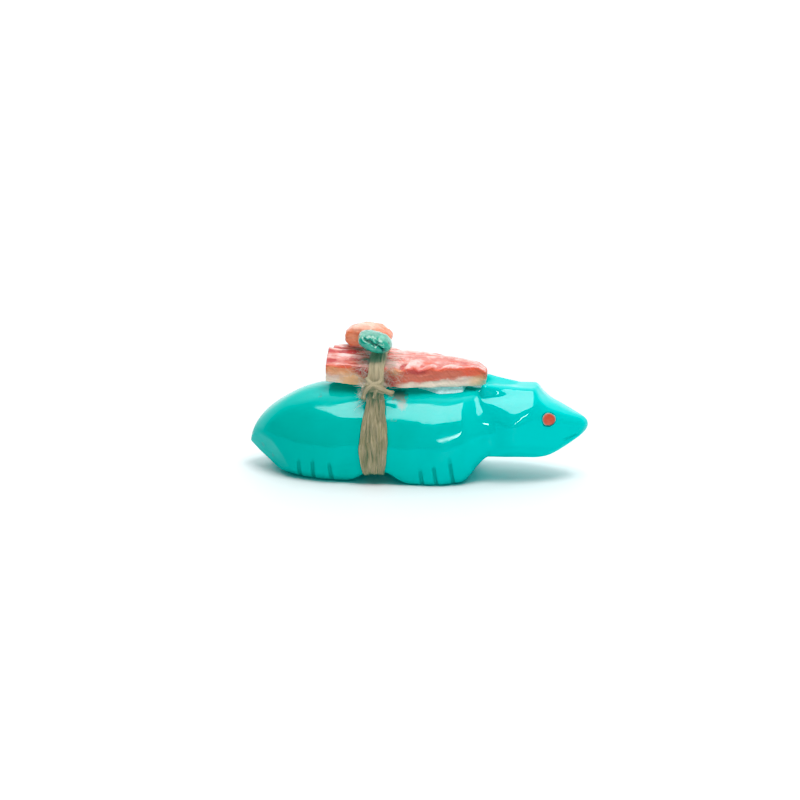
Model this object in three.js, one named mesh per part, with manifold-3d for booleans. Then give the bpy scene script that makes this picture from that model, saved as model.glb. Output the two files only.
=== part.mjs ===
// A palm-size stone carving of a crouching animal with a small bundle tied on its back.
// Millimetres, +Z up, +X toward the nose, +Y away from the near flank.
// The origin is on the floor, under the middle of the tail-to-nose length.
import * as THREE from "three";
import { mergeVertices } from "three/addons/utils/BufferGeometryUtils.js";
import Module from "manifold-3d";

const wasm = await Module();
wasm.setup();

// Driving dimensions, in millimetres and degrees

// The carved animal keeps its proportions as shares of its own length:
// it is drawn on a grid with BODY_GRID squares from tail to nose.
const BODY_LENGTH = 58;
const BODY_GRID = 58;

// Cut details of the carving, and how far a cutter reaches past the surface
const CUTTER_REACH = 0.8;
const CLAW_GROOVE_WIDTH = 0.8;
const CLAW_GROOVE_DEPTH = 0.6;
const MOUTH_GROOVE_WIDTH = 0.7;
const MOUTH_GROOVE_DEPTH = 0.6;

// Inlaid eyes
const EYE_DIAMETER = 2.0;
const EYE_INLAY_DEPTH = 1.1;
const EYE_DOME_RISE = 0.2;
const EYE_CLEARANCE = 0.2;

// Slab of shell that lies along the back, its thin tip just behind the ears
const SLAB_LENGTH = 27.0;
const SLAB_WIDTH = 8.4;
const SLAB_FACE_HEIGHT = 3.4;
const SLAB_CROWN_HEIGHT = 5.3;
const SLAB_TIP_HEIGHT = 2.8;
const SLAB_TIP_BEHIND_EARS = 0.2;
const SLAB_RIB_COUNT = 5;
const SLAB_RIB_DEPTH = 0.22;
const SLAB_KNUCKLE_HEIGHT = 0.3;
const SLAB_KNUCKLE_PITCH = 3.1;

// Coral chip and turquoise nugget on top of the slab
const CHIP_LENGTH = 8.0;
const CHIP_WIDTH = 4.2;
const CHIP_HEIGHT = 3.6;
const CHIP_TILT = 3;
const CHIP_FROM_TIE = [-2.1, 1.8];
const NUGGET_LENGTH = 6.0;
const NUGGET_WIDTH = 3.7;
const NUGGET_HEIGHT = 3.4;
const NUGGET_TILT = 15;
const NUGGET_GAP_TO_CHIP = 0.3;
const NUGGET_FROM_TIE = -0.5;

// Sinew that goes once round the belly and the slab, placed by its share of the slab's length
const TIE_SHARE_OF_SLAB = 0.674;
const TIE_WIDTH_FLANK = 4.5;
const TIE_WIDTH_TOP = 3.2;
const TIE_THICKNESS = 0.5;
const TIE_LONGEST_RUN = 1.6;
// Drops below the slab over which the band spreads to its full width
const TIE_WIDENS = [-1.0, 7.0];
const KNOT_SIZE = [2.3, 1.5, 1.9];
const KNOT_RISE = 0.4;
const CUT_END_DIAMETER = 0.9;
const CUT_END_LONG = 3.2;
const CUT_END_SHORT = 2.2;
const LONG_END_WAY = [0.97, -0.2, -0.12];
const SHORT_END_WAY = [-0.62, -0.38, -0.66];

// Glue that fills the wedge between the back and the slab's front half
const GLUE_LENGTH = 7.4;
const GLUE_WIDTH = 6.8;
const GLUE_FROM_SLAB_TIP = 7.2;

// Gap that two pieces lying on each other keep
const SEAT_CLEARANCE = 0.2;

// Proportions of the carving, in squares of the body grid

const UNIT = BODY_LENGTH / BODY_GRID;
const TAIL = { x: -29.0, z: 4.0 };
const NECK_START = [7, 11];
const NECK_END = 16;
const RAY_REACH = 15;
const THINNEST = 0.02;
// Height inside the trunk from which its surface is measured
const INNER_HEIGHT = 5.0;
// [x, value] stations from tail to neck
const WIDEST_HEIGHT = [[-29, 3.5], [4, 3.5], [12, 6.2], [18, 8.0]];
const HALF_WIDTH = [
  [-29, 8.9], [-14, 9.1], [-6, 8.9], [3, 9.0], [8, 8.1], [12, 5.7], [15, 3.9], [18, 3.0],
];
const BACK = [
  [-29, 15.2], [-14, 15.4], [-7, 15.75], [0, 15.55], [6, 15.2], [9, 15.1], [12, 14.7], [18, 13.0],
];
const BELLY = [[-29, -1.2], [-14, -1.2], [3, -1.2], [7.9, -0.6], [10.9, 2.8], [12.7, 5.0], [18, 8.0]];
const LOWER_ROUNDNESS = [[-29, 2.8], [-20, 2.4], [-12.5, 2.5], [-5, 3.3], [18, 3.4]];
const UPPER_ROUNDNESS = 2.2;
const RUMP_ROUNDING = { width: [16, 0.72], back: [17, 0.55], belly: [13, 0.5] };
// Flat facets, each [normal, point on it], mirrored across the middle
const CRANIUM_FACETS = [
  [[0, 0, 1], [0, 0, 15.95]],
  [[0, 0.762, 0.648], [17, 2.1, 15.95]],
  [[0.47, 0.673, 0.572], [20.1, 3.35, 14.55]],
  [[0.8, 0.12, 0.55], [20.4, 0, 15.95]],
  [[-0.773, 0.633, 0.027], [11, 3.9, 13.9]],
  [[-0.35, 0, 0.94], [12.6, 0, 15.95]],
];
const BRIDGE_FACETS = [
  [[0.43, 0, 0.9], [22, 0, 13.8]],
  [[0.4, 0.55, 0.72], [22, 2.5, 13.6]],
  [[0, 0, 1], [0, 0, 14.2]],
  [[0, 0.762, 0.648], [17, 2.0, 15.9]],
];
const CHEEK_FACETS = [
  [[0.287, 1, 0.1], [16.4, 5.85, 11.9]],
  [[-0.24, 0.96, 0.1], [16.4, 5.85, 11.9]],
  [[0.44, 0.89, 0.05], [25, 3.05, 10]],
  [[0.12, 0.7, -0.7], [14, 5.3, 4.9]],
  [[-0.03, 0, -1], [14, 0, 4.2]],
  [[0.42, 0.1, -0.9], [23.9, 2.5, 5.05]],
  [[0.62, 0.15, -0.78], [26.8, 1.5, 7.0]],
  [[1, 0.3, -0.15], [29.1, 0, 10]],
  [[-1, 0, 0], [7, 0, 0]],
];
const RUMP_FACET = [[-0.698, 0.685, -0.209], [-29.0, 0, 3.9]];
const RUMP_UNDERCUT = [[-0.5, 0, -0.87], [-29.0, 0, 3.9]];
// Rounded ridge of an ear, from its tip forward: [from, to, radius]
const EAR_TOP = [11.7, 2.8, 16.0];
const EAR_RIDGE = [EAR_TOP, [15.6, 1.6, 15.0], 0.75];
const BELLY_NOTCH = { height: 1.9, hind: -10.2, front: -2.1, slope: 0.62, rise: 0.78 };
// How softly the carved forms run into each other
const BLEND = {
  neckTop: 0.5,
  neckFoot: 1.8,
  neckEnd: 1.0,
  cranium: 0.4,
  bridge: 0.9,
  cheeks: 0.9,
  skull: 0.9,
  head: 1.3,
  earRidge: 1.3,
  rump: 0.2,
  undercut: 0.4,
  notch: 0.8,
  belly: 1.2,
};
// Heights between which the join of the neck goes from soft to crisp
const NECK_JOIN_HEIGHTS = [8, 13];
// [x at the top, z at the top, x at the sole] of each groove on a foot
const CLAWS = [
  [-19.7, 4.3, -19.5],
  [-17.2, 4.5, -17.1],
  [-14.3, 4.1, -13.9],
  [1.2, 3.3, 1.6],
  [3.5, 4.1, 4.0],
  [6.2, 5.3, 6.8],
];
const CLAW_START = { share: 0.1, height: 0.15, overcut: 0.6 };
const MOUTH = { from: [24.8, 7.4], to: [27.6, 8.35], startShare: 0.15 };
const EYE = { x: 22.65, z: 11.2 };

// Small mathematics

/** Smallest of two values, with a rounded join of size k. */
function softMin(a, b, k) {
  const h = THREE.MathUtils.clamp(0.5 + (0.5 * (b - a)) / k, 0, 1);
  return b + (a - b) * h - k * h * (1 - h);
}

/** Largest of two values, with a rounded join of size k. */
function softMax(a, b, k) {
  return -softMin(-a, -b, k);
}

/** Smooth curve through [x, value] stations without overshoot. */
function profile(stations) {
  const slopes = stations.slice(1).map((s, i) => (s[1] - stations[i][1]) / (s[0] - stations[i][0]));
  const tangents = stations.map((_, i) => {
    if (i === 0 || i === stations.length - 1) return slopes[Math.min(i, slopes.length - 1)];
    const product = slopes[i - 1] * slopes[i];
    return product > 0 ? (2 * product) / (slopes[i - 1] + slopes[i]) : 0;
  });
  return (x) => {
    let i = 0;
    while (i < stations.length - 2 && x > stations[i + 1][0]) i += 1;
    const span = stations[i + 1][0] - stations[i][0];
    const t = THREE.MathUtils.clamp((x - stations[i][0]) / span, 0, 1);
    const rest = 1 - t;
    return (
      (1 + 2 * t) * rest * rest * stations[i][1] +
      t * rest * rest * span * tangents[i] +
      t * t * (3 - 2 * t) * stations[i + 1][1] -
      t * t * rest * span * tangents[i + 1]
    );
  };
}

/** Signed height of a point over a facet that is mirrored across the middle. */
function overFacet([normal, point], x, y, z) {
  const size = Math.hypot(...normal);
  const side = Math.abs(y) - point[1];
  return ((x - point[0]) * normal[0] + side * normal[1] + (z - point[2]) * normal[2]) / size;
}

/** Rounded common part of mirrored facets, negative inside. */
function facetBlock(facets, blend, x, y, z) {
  return facets.map((facet) => overFacet(facet, x, y, z)).reduce((a, b) => softMax(a, b, blend));
}

/** Signed distance to a mirrored round bar. */
function roundBar([from, to, radius], x, y, z) {
  const start = new THREE.Vector3(...from);
  const along = new THREE.Vector3(...to).sub(start);
  const offset = new THREE.Vector3(x, Math.abs(y), z).sub(start);
  const t = THREE.MathUtils.clamp(offset.dot(along) / along.lengthSq(), 0, 1);
  return offset.addScaledVector(along, -t).length() - radius;
}

// The carved body as a field: negative inside, about a distance near the surface

const halfWidthAt = profile(HALF_WIDTH);
const backAt = profile(BACK);
const bellyAt = profile(BELLY);
const lowerRoundnessAt = profile(LOWER_ROUNDNESS);
const widestHeightAt = profile(WIDEST_HEIGHT);

/** Share of the full section that the rounded rump has reached at x. */
function rumpShare(x, [reach, fullness]) {
  const t = THREE.MathUtils.clamp((x - TAIL.x) / reach, 0, 1);
  return Math.max(1 - (1 - t) ** 2, 1e-9) ** fullness;
}

function trunkField(x, y, z) {
  const backShare = rumpShare(x, RUMP_ROUNDING.back);
  const axis = TAIL.z + (widestHeightAt(x) - TAIL.z) * backShare;
  const width = Math.max(halfWidthAt(x) * rumpShare(x, RUMP_ROUNDING.width), THINNEST);
  const above = TAIL.z + (backAt(x) - TAIL.z) * backShare - axis;
  const below = axis - TAIL.z + (TAIL.z - bellyAt(x)) * rumpShare(x, RUMP_ROUNDING.belly);
  const height = Math.max(z > axis ? above : below, THINNEST);
  const power = z > axis ? UPPER_ROUNDNESS : lowerRoundnessAt(x);
  const reach = ((Math.abs(y) / width) ** power + (Math.abs(z - axis) / height) ** power) ** (1 / power);
  const thin = Math.min(width, height);
  const full = Math.min(width, Math.max(above, below, THINNEST));
  const section = (reach - 1) * THREE.MathUtils.lerp(thin, full, THREE.MathUtils.smoothstep(x, ...NECK_START));
  const trunk = x < TAIL.x ? Math.max(section, TAIL.x - x + THINNEST) : section;
  return softMax(trunk, x - NECK_END, BLEND.neckEnd);
}

function headField(x, y, z) {
  const cranium = facetBlock(CRANIUM_FACETS, BLEND.cranium, x, y, z);
  const bridge = facetBlock(BRIDGE_FACETS, BLEND.bridge, x, y, z);
  const cheeks = facetBlock(CHEEK_FACETS, BLEND.cheeks, x, y, z);
  return softMax(softMin(cranium, bridge, BLEND.skull), cheeks, BLEND.head);
}

function notchField(x, z) {
  const { height, hind, front, slope, rise } = BELLY_NOTCH;
  const walls = softMax(z * rise - (x - hind) * slope, z * rise + (x - front) * slope, BLEND.notch);
  return softMax(z - height, walls, BLEND.notch);
}

/** The whole carving before its grooves, sockets and sole are cut, on the body grid. */
function gridField(x, y, z) {
  const crisp = THREE.MathUtils.smoothstep(z, ...NECK_JOIN_HEIGHTS);
  const neckBlend = THREE.MathUtils.lerp(BLEND.neckFoot, BLEND.neckTop, crisp);
  let field = softMin(trunkField(x, y, z), headField(x, y, z), neckBlend);
  field = softMin(field, roundBar(EAR_RIDGE, x, y, z), BLEND.earRidge);
  field = softMax(field, overFacet(RUMP_FACET, x, y, z), BLEND.rump);
  field = softMax(field, overFacet(RUMP_UNDERCUT, x, y, z), BLEND.undercut);
  return softMax(field, -notchField(x, z), BLEND.belly);
}

function bodyField(point) {
  return UNIT * gridField(point.x / UNIT, point.y / UNIT, point.z / UNIT);
}

/** First place along a ray where the body ends. */
function bodyHit(origin, direction) {
  const steps = 48;
  const reach = RAY_REACH * UNIT;
  const at = (r) => bodyField(origin.clone().addScaledVector(direction, r));
  let outer = reach;
  let inner = 0;
  for (let i = 1; i <= steps; i += 1) {
    const r = (reach * i) / steps;
    if (at(r) > 0) {
      outer = r;
      break;
    }
    inner = r;
  }
  for (let i = 0; i < 22; i += 1) {
    const middle = (inner + outer) / 2;
    if (at(middle) > 0) outer = middle;
    else inner = middle;
  }
  return origin.clone().addScaledVector(direction, (inner + outer) / 2);
}

/** Height of the back over a place in plan. */
function backHeight(x, y) {
  const inside = new THREE.Vector3(x, y, INNER_HEIGHT * UNIT);
  return bodyHit(inside, new THREE.Vector3(0, 0, 1)).z;
}

/** Point of the near or far flank at a given x and height. */
function flankPoint(x, z, side) {
  const inside = new THREE.Vector3(x, 0, z);
  return bodyHit(inside, new THREE.Vector3(0, side, 0));
}

// Closed meshes

/** Mesh data from rows of points, closed round each row and capped at both ends by a tip point. */
function loft(rows, tips = [null, null]) {
  const count = rows[0].length;
  const positions = rows.flat().flatMap((p) => [p.x, p.y, p.z]);
  const index = [];
  for (let i = 0; i < rows.length - 1; i += 1) {
    for (let j = 0; j < count; j += 1) {
      const next = (j + 1) % count;
      const [a, b, c, d] = [i * count + j, i * count + next, (i + 1) * count + next, (i + 1) * count + j];
      index.push(a, b, c, a, c, d);
    }
  }
  const middle = (row) => row.reduce((sum, p) => sum.add(p), new THREE.Vector3()).divideScalar(count);
  [rows[0], rows.at(-1)].forEach((row, end) => {
    const base = end * (rows.length - 1) * count;
    const tip = tips[end] ?? middle(row);
    const tipIndex = positions.length / 3;
    positions.push(tip.x, tip.y, tip.z);
    for (let j = 0; j < count; j += 1) {
      const pair = [base + j, base + ((j + 1) % count)];
      index.push(...(end ? pair : pair.reverse()), tipIndex);
    }
  });
  return geometryOf(positions, index);
}

/** Ring that closes on itself, from loops of points across it. */
function ringLoft(loops) {
  const count = loops[0].length;
  const positions = loops.flat().flatMap((p) => [p.x, p.y, p.z]);
  const index = [];
  loops.forEach((_, i) => {
    for (let j = 0; j < count; j += 1) {
      const following = ((i + 1) % loops.length) * count;
      const next = (j + 1) % count;
      index.push(i * count + j, i * count + next, following + next);
      index.push(i * count + j, following + next, following + j);
    }
  });
  return geometryOf(positions, index);
}

function geometryOf(positions, index) {
  const geometry = new THREE.BufferGeometry();
  geometry.setAttribute("position", new THREE.Float32BufferAttribute(positions, 3));
  geometry.setIndex(index);
  return geometry;
}

/** Solid of a closed geometry, turned face out where it was wound the other way. */
function solid(geometry) {
  const bare = geometry.clone();
  bare.deleteAttribute("normal");
  bare.deleteAttribute("uv");
  const merged = mergeVertices(bare, 1e-4);
  const triVerts = new Uint32Array(merged.index.array);
  const vertProperties = new Float32Array(merged.attributes.position.array);
  const make = () => new wasm.Manifold(new wasm.Mesh({ numProp: 3, vertProperties, triVerts }));
  const made = make();
  if (made.volume() > 0) return made;
  for (let i = 0; i < triVerts.length; i += 3) {
    [triVerts[i + 1], triVerts[i + 2]] = [triVerts[i + 2], triVerts[i + 1]];
  }
  return make();
}

function geometryFrom(manifold) {
  const mesh = manifold.getMesh();
  const geometry = new THREE.BufferGeometry();
  geometry.setAttribute("position", new THREE.BufferAttribute(new Float32Array(mesh.vertProperties), 3));
  geometry.setIndex(new THREE.BufferAttribute(new Uint32Array(mesh.triVerts), 1));
  geometry.computeVertexNormals();
  return geometry;
}

function namedMesh(name, manifold, color, roughness) {
  const material = new THREE.MeshStandardMaterial({ color, roughness, metalness: 0 });
  const mesh = new THREE.Mesh(geometryFrom(manifold), material);
  mesh.name = name;
  return mesh;
}

// Body

const RING_SIDES = 38;
const END_RINGS = 9;
const SPINE = { hind: [-22, 5.0], front: [23, 9.4] };
const HEAD_START = 7;
const TRUNK_STEP = 1.25;
const HEAD_STEP = 0.68;

/** Places along the spine where the body is measured, closer together at the head. */
function spinePlaces() {
  const places = [];
  let x = SPINE.hind[0];
  while (x < SPINE.front[0]) {
    places.push(x);
    x += x < HEAD_START ? TRUNK_STEP : HEAD_STEP;
  }
  places.push(SPINE.front[0]);
  return places;
}

/** Ring of points where rays from one spine point, leaning by `lean`, leave the body. */
function bodyRing([x, z], lean) {
  const origin = new THREE.Vector3(x, 0, z).multiplyScalar(UNIT);
  return Array.from({ length: RING_SIDES }, (_, i) => {
    const turn = (2 * Math.PI * i) / RING_SIDES;
    const direction = new THREE.Vector3(
      Math.cos(lean),
      Math.sin(lean) * Math.sin(turn),
      Math.sin(lean) * Math.cos(turn),
    );
    return bodyHit(origin, direction);
  });
}

function bodyShell() {
  const rows = [];
  const quarter = Math.PI / 2;
  for (let i = 1; i < END_RINGS; i += 1) {
    rows.push(bodyRing(SPINE.hind, Math.PI - (quarter * i) / END_RINGS));
  }
  const rise = (SPINE.front[1] - SPINE.hind[1]) / (SPINE.front[0] - SPINE.hind[0]);
  for (const x of spinePlaces()) {
    rows.push(bodyRing([x, SPINE.hind[1] + rise * (x - SPINE.hind[0])], quarter));
  }
  for (let i = END_RINGS - 1; i > 0; i -= 1) rows.push(bodyRing(SPINE.front, (quarter * i) / END_RINGS));
  const tips = [[SPINE.hind, -1], [SPINE.front, 1]].map(([[x, z], way]) => {
    const origin = new THREE.Vector3(x, 0, z).multiplyScalar(UNIT);
    return bodyHit(origin, new THREE.Vector3(way, 0, 0));
  });
  return solid(loft(rows, tips));
}

/** Wedge whose sharp edge runs under the surface along a line on one flank. */
function grooveWedge(line, side, width, depth) {
  const outward = new THREE.Vector3(0, side, 0);
  const along = new THREE.Vector3(line.at(-1)[0] - line[0][0], 0, line.at(-1)[1] - line[0][1]);
  const across = new THREE.Vector3().crossVectors(along.normalize(), outward);
  const rows = line.map(([x, z, share]) => {
    const surface = flankPoint(x * UNIT, z * UNIT, side);
    const sunk = depth * share;
    const open = ((width / 2) * (sunk + CUTTER_REACH)) / depth;
    return [
      surface.clone().addScaledVector(outward, -sunk),
      surface.clone().addScaledVector(outward, CUTTER_REACH).addScaledVector(across, open),
      surface.clone().addScaledVector(outward, CUTTER_REACH).addScaledVector(across, -open),
    ];
  });
  return solid(loft(rows));
}

/** Grooves between the claws: deepest at the sole, running out at the top. */
function clawWedge([topX, topZ, soleX], side) {
  const steps = 5;
  const line = Array.from({ length: steps + 1 }, (_, i) => {
    const t = i / steps;
    const z = THREE.MathUtils.lerp(topZ, CLAW_START.height, t);
    return [THREE.MathUtils.lerp(topX, soleX, t), z, i === 0 ? CLAW_START.share : Math.min(1, 0.55 + t)];
  });
  line.push([soleX, -CLAW_START.overcut, 1]);
  return grooveWedge(line, side, CLAW_GROOVE_WIDTH, CLAW_GROOVE_DEPTH);
}

function mouthWedge(side) {
  const steps = 4;
  const line = Array.from({ length: steps + 1 }, (_, i) => {
    const t = i / steps;
    const [x, z] = MOUTH.from.map((start, axis) => THREE.MathUtils.lerp(start, MOUTH.to[axis], t));
    return [x, z, i === 0 ? MOUTH.startShare : 1];
  });
  return grooveWedge(line, side, MOUTH_GROOVE_WIDTH, MOUTH_GROOVE_DEPTH);
}

/** Where an eye sits and which way it faces, from the carved surface itself. */
function eyePlace(side) {
  const step = 0.6;
  const at = (x, z) => flankPoint(x * UNIT, z * UNIT, side);
  const along = at(EYE.x + step, EYE.z).sub(at(EYE.x - step, EYE.z));
  const up = at(EYE.x, EYE.z + step).sub(at(EYE.x, EYE.z - step));
  const facing = new THREE.Vector3().crossVectors(along, up).normalize();
  if (facing.y * side < 0) facing.negate();
  return { point: at(EYE.x, EYE.z), facing };
}

/** Round plug with its outer face at height `top` over the surface, turned to the eye's facing. */
function eyePlug({ point, facing }, radius, top, depth, dome) {
  const profilePoints = [[0, top - depth], [radius, top - depth], [radius, top]];
  const domeSteps = 2;
  for (let i = 1; i <= domeSteps; i += 1) {
    const turn = (Math.PI / 2) * (i / domeSteps);
    profilePoints.push([radius * Math.cos(turn), top + dome * Math.sin(turn)]);
  }
  const points = profilePoints.map(([r, h]) => new THREE.Vector2(Math.max(r, 0), h));
  points.at(-1).x = 0;
  const plug = new THREE.LatheGeometry(points, 20);
  plug.applyQuaternion(new THREE.Quaternion().setFromUnitVectors(new THREE.Vector3(0, 1, 0), facing));
  plug.translate(point.x, point.y, point.z);
  return solid(plug);
}

function animalBody() {
  const size = 2 * BODY_LENGTH;
  const underFloor = new THREE.BoxGeometry(size, size, size).translate(0, 0, -size / 2);
  let body = bodyShell().subtract(solid(underFloor));
  for (const side of [-1, 1]) {
    for (const claw of CLAWS) body = body.subtract(clawWedge(claw, side));
    body = body.subtract(mouthWedge(side));
    const socketRadius = EYE_DIAMETER / 2 + EYE_CLEARANCE;
    const cutDepth = EYE_INLAY_DEPTH + EYE_CLEARANCE + CUTTER_REACH;
    body = body.subtract(eyePlug(eyePlace(side), socketRadius, CUTTER_REACH, cutDepth, EYE_DOME_RISE));
  }
  return body;
}

function inlaidEye(side) {
  return eyePlug(eyePlace(side), EYE_DIAMETER / 2, 0, EYE_INLAY_DEPTH, EYE_DOME_RISE);
}

// Shell slab: s runs from the tip (0) to the broad end (1), t from near edge (0) to far edge (1)

const slabNear = profile([[0, -0.12], [0.05, -0.19], [0.2, -0.32], [0.55, -0.51], [1, -0.43]]);
const slabFar = profile([[0, 0.1], [0.05, 0.18], [0.22, 0.34], [0.5, 0.49], [1, 0.46]]);
const slabCrown = profile([
  [0, SLAB_TIP_HEIGHT],
  [0.07, 0.6 * SLAB_TIP_HEIGHT + 0.4 * SLAB_FACE_HEIGHT + 0.5],
  [0.3, 0.6 * SLAB_FACE_HEIGHT + 0.4 * SLAB_CROWN_HEIGHT + 0.15],
  [1, SLAB_CROWN_HEIGHT],
]);
const slabEdge = profile([
  [0, 0.85 * SLAB_TIP_HEIGHT],
  [0.06, SLAB_FACE_HEIGHT],
  [1, SLAB_FACE_HEIGHT],
]);
const slabTipX = EAR_TOP[0] * UNIT - SLAB_TIP_BEHIND_EARS;
const tieX = slabTipX - TIE_SHARE_OF_SLAB * SLAB_LENGTH;
// Shares of the slab's own length and width
const SLAB_CREST_SHARE = 0.72;
const SLAB_ROLL_OFF_RATE = 4.2;
const SLAB_RIB_DRIFT_SHARE = 0.12;
const SLAB_FAR_BEVEL_RATIO = 0.85;
const KNUCKLES_AT = { s: 0.42, t: 0.12 };
const KNUCKLE_SPREAD = { s: 0.2, t: 0.22 };

function slabPlace(s, t) {
  const y = SLAB_WIDTH * THREE.MathUtils.lerp(slabNear(s), slabFar(s), t);
  const bevel = SLAB_FAR_BEVEL_RATIO * Math.max(0, y - 0.04 * SLAB_WIDTH) * s * s;
  return { x: slabTipX - s * SLAB_LENGTH + bevel, y };
}

/** Thickness of the slab: a flat near face, a ribbed top that rises to the crown and rolls off behind. */
function slabThickness(s, t) {
  const edge = slabEdge(s);
  const crown = Math.max(slabCrown(s), edge);
  const past = t - SLAB_CREST_SHARE;
  const upslope = Math.sin((Math.PI / 2) * (t / SLAB_CREST_SHARE));
  const rise = past < 0 ? upslope : Math.cos(past * SLAB_ROLL_OFF_RATE);
  const fade = Math.min(1, 12 * t, 8 * (1 - t)) * Math.min(1, 6 * s);
  const ribs = SLAB_RIB_DEPTH * Math.cos(2 * Math.PI * SLAB_RIB_COUNT * (t + SLAB_RIB_DRIFT_SHARE * s));
  const alongKnuckles = (s - KNUCKLES_AT.s) / KNUCKLE_SPREAD.s;
  const acrossKnuckles = (t - KNUCKLES_AT.t) / KNUCKLE_SPREAD.t;
  const knuckleReach = Math.exp(-(alongKnuckles ** 2) - acrossKnuckles ** 2);
  const knuckles = SLAB_KNUCKLE_HEIGHT * Math.cos((2 * Math.PI * s * SLAB_LENGTH) / SLAB_KNUCKLE_PITCH);
  return edge + (crown - edge) * rise + fade * ribs + knuckleReach * knuckles;
}

/** Underside height at which the slab rests on the back. */
function slabRest() {
  let rest = 0;
  for (let s = 0; s <= 1; s += 0.05) {
    for (let t = 0; t <= 1; t += 0.125) {
      const { x, y } = slabPlace(s, t);
      rest = Math.max(rest, backHeight(x, y));
    }
  }
  return rest + SEAT_CLEARANCE;
}
const slabBottom = slabRest();

/** One cross-section of the slab, from the near foot over the top to the far foot and back. */
function slabSection(s) {
  const acrossSteps = 14;
  const points = [];
  for (let i = 0; i <= acrossSteps; i += 1) {
    const t = i / acrossSteps;
    const { x, y } = slabPlace(s, t);
    points.push(new THREE.Vector3(x, y, slabBottom + slabThickness(s, t)));
  }
  for (const t of [1, 0.66, 0.33, 0]) {
    const { x, y } = slabPlace(s, t);
    points.push(new THREE.Vector3(x, y, slabBottom));
  }
  return points;
}

function shellSlab() {
  const steps = 28;
  return solid(loft(Array.from({ length: steps + 1 }, (_, i) => slabSection((i / steps) ** 1.1))));
}

// Sinew tie: the hull round the body and the slab, measured at planes across the band

const TIE_PLANES = 7;
const HULL_NORMALS = 36;
const bandHalf = TIE_WIDTH_FLANK / 2;

/** Section of the body and the slab at one x, as points in y and z. */
function bundleSection(x) {
  const points = [];
  const inside = new THREE.Vector3(x, 0, INNER_HEIGHT * UNIT);
  for (let i = 0; i < 72; i += 1) {
    const turn = (2 * Math.PI * i) / 72;
    const hit = bodyHit(inside, new THREE.Vector3(0, Math.sin(turn), Math.cos(turn)));
    points.push([hit.y, Math.max(hit.z, 0)]);
  }
  for (let i = 0; i <= 26; i += 1) {
    const s = (slabTipX - x) / SLAB_LENGTH;
    const { y } = slabPlace(s, i / 26);
    points.push([y, slabBottom + slabThickness(s, i / 26)], [y, slabBottom]);
  }
  return points;
}

/** Corners of the taut outline round a section: where neighbouring support lines meet. */
function hullCorners(points, offset) {
  const turnStep = (2 * Math.PI) / HULL_NORMALS;
  const lines = Array.from({ length: HULL_NORMALS }, (_, i) => {
    const [sin, cos] = [Math.sin(i * turnStep), Math.cos(i * turnStep)];
    return { sin, cos, reach: offset + Math.max(...points.map(([y, z]) => y * sin + z * cos)) };
  });
  return lines.map((a, i) => {
    const b = lines[(i + 1) % HULL_NORMALS];
    const turned = Math.sin(turnStep);
    const normal = new THREE.Vector2(a.sin + b.sin, a.cos + b.cos).setLength(1 / Math.cos(turnStep / 2));
    return {
      y: (a.reach * b.cos - b.reach * a.cos) / -turned,
      z: (b.reach * a.sin - a.reach * b.sin) / -turned,
      normal: [normal.x, normal.y],
    };
  });
}

/** Adds points on the long straight runs of every plane, the same number in each. */
function evenRuns(planes, longest) {
  const count = planes[0].length;
  const pieces = Array.from({ length: count }, (_, i) => {
    const lengths = planes.map((plane) => {
      const next = plane[(i + 1) % count];
      return Math.hypot(next.y - plane[i].y, next.z - plane[i].z);
    });
    return Math.max(1, Math.ceil(Math.max(...lengths) / longest));
  });
  return planes.map((plane) =>
    plane.flatMap((point, i) => {
      const next = plane[(i + 1) % count];
      return Array.from({ length: pieces[i] }, (_, k) => {
        const t = k / pieces[i];
        const normal = new THREE.Vector2(...point.normal);
        normal.lerp(new THREE.Vector2(...next.normal), t).normalize();
        return {
          y: THREE.MathUtils.lerp(point.y, next.y, t),
          z: THREE.MathUtils.lerp(point.z, next.z, t),
          normal: [normal.x, normal.y],
        };
      });
    }),
  );
}

const tiePlanes = evenRuns(
  Array.from({ length: TIE_PLANES }, (_, i) => {
    const x = tieX - bandHalf + (TIE_WIDTH_FLANK * i) / (TIE_PLANES - 1);
    return hullCorners(bundleSection(x), SEAT_CLEARANCE);
  }),
  TIE_LONGEST_RUN,
);
const tieTop = Math.max(...tiePlanes.flat().map((p) => p.z)) + TIE_THICKNESS;

/** Point of the tie at ring place k, `across` from -1 to 1, `lift` above its inner face. */
function tiePoint(k, across, lift) {
  const middle = tiePlanes[(TIE_PLANES - 1) / 2][k];
  const drop = THREE.MathUtils.smoothstep(slabBottom - middle.z, ...TIE_WIDENS);
  const half = THREE.MathUtils.lerp(TIE_WIDTH_TOP, TIE_WIDTH_FLANK, drop) / 2;
  const offset = across * half;
  const place = ((offset + bandHalf) / TIE_WIDTH_FLANK) * (TIE_PLANES - 1);
  const low = Math.min(Math.floor(place), TIE_PLANES - 2);
  const [a, b] = [tiePlanes[low][k], tiePlanes[low + 1][k]];
  const t = place - low;
  return new THREE.Vector3(
    tieX + offset,
    THREE.MathUtils.lerp(a.y + lift * a.normal[0], b.y + lift * b.normal[0], t),
    THREE.MathUtils.lerp(a.z + lift * a.normal[1], b.z + lift * b.normal[1], t),
  );
}

/** Point of the tie on the near flank at a given height. */
function nearTiePoint(height, across, lift) {
  const middle = tiePlanes[(TIE_PLANES - 1) / 2];
  const k = middle.findIndex((p, i) => {
    const next = middle[(i + 1) % middle.length];
    return p.y < 0 && (p.z - height) * (next.z - height) <= 0;
  });
  const next = (k + 1) % middle.length;
  const t = (height - middle[k].z) / (middle[next].z - middle[k].z);
  return tiePoint(k, across, lift).lerp(tiePoint(next, across, lift), t);
}

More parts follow.
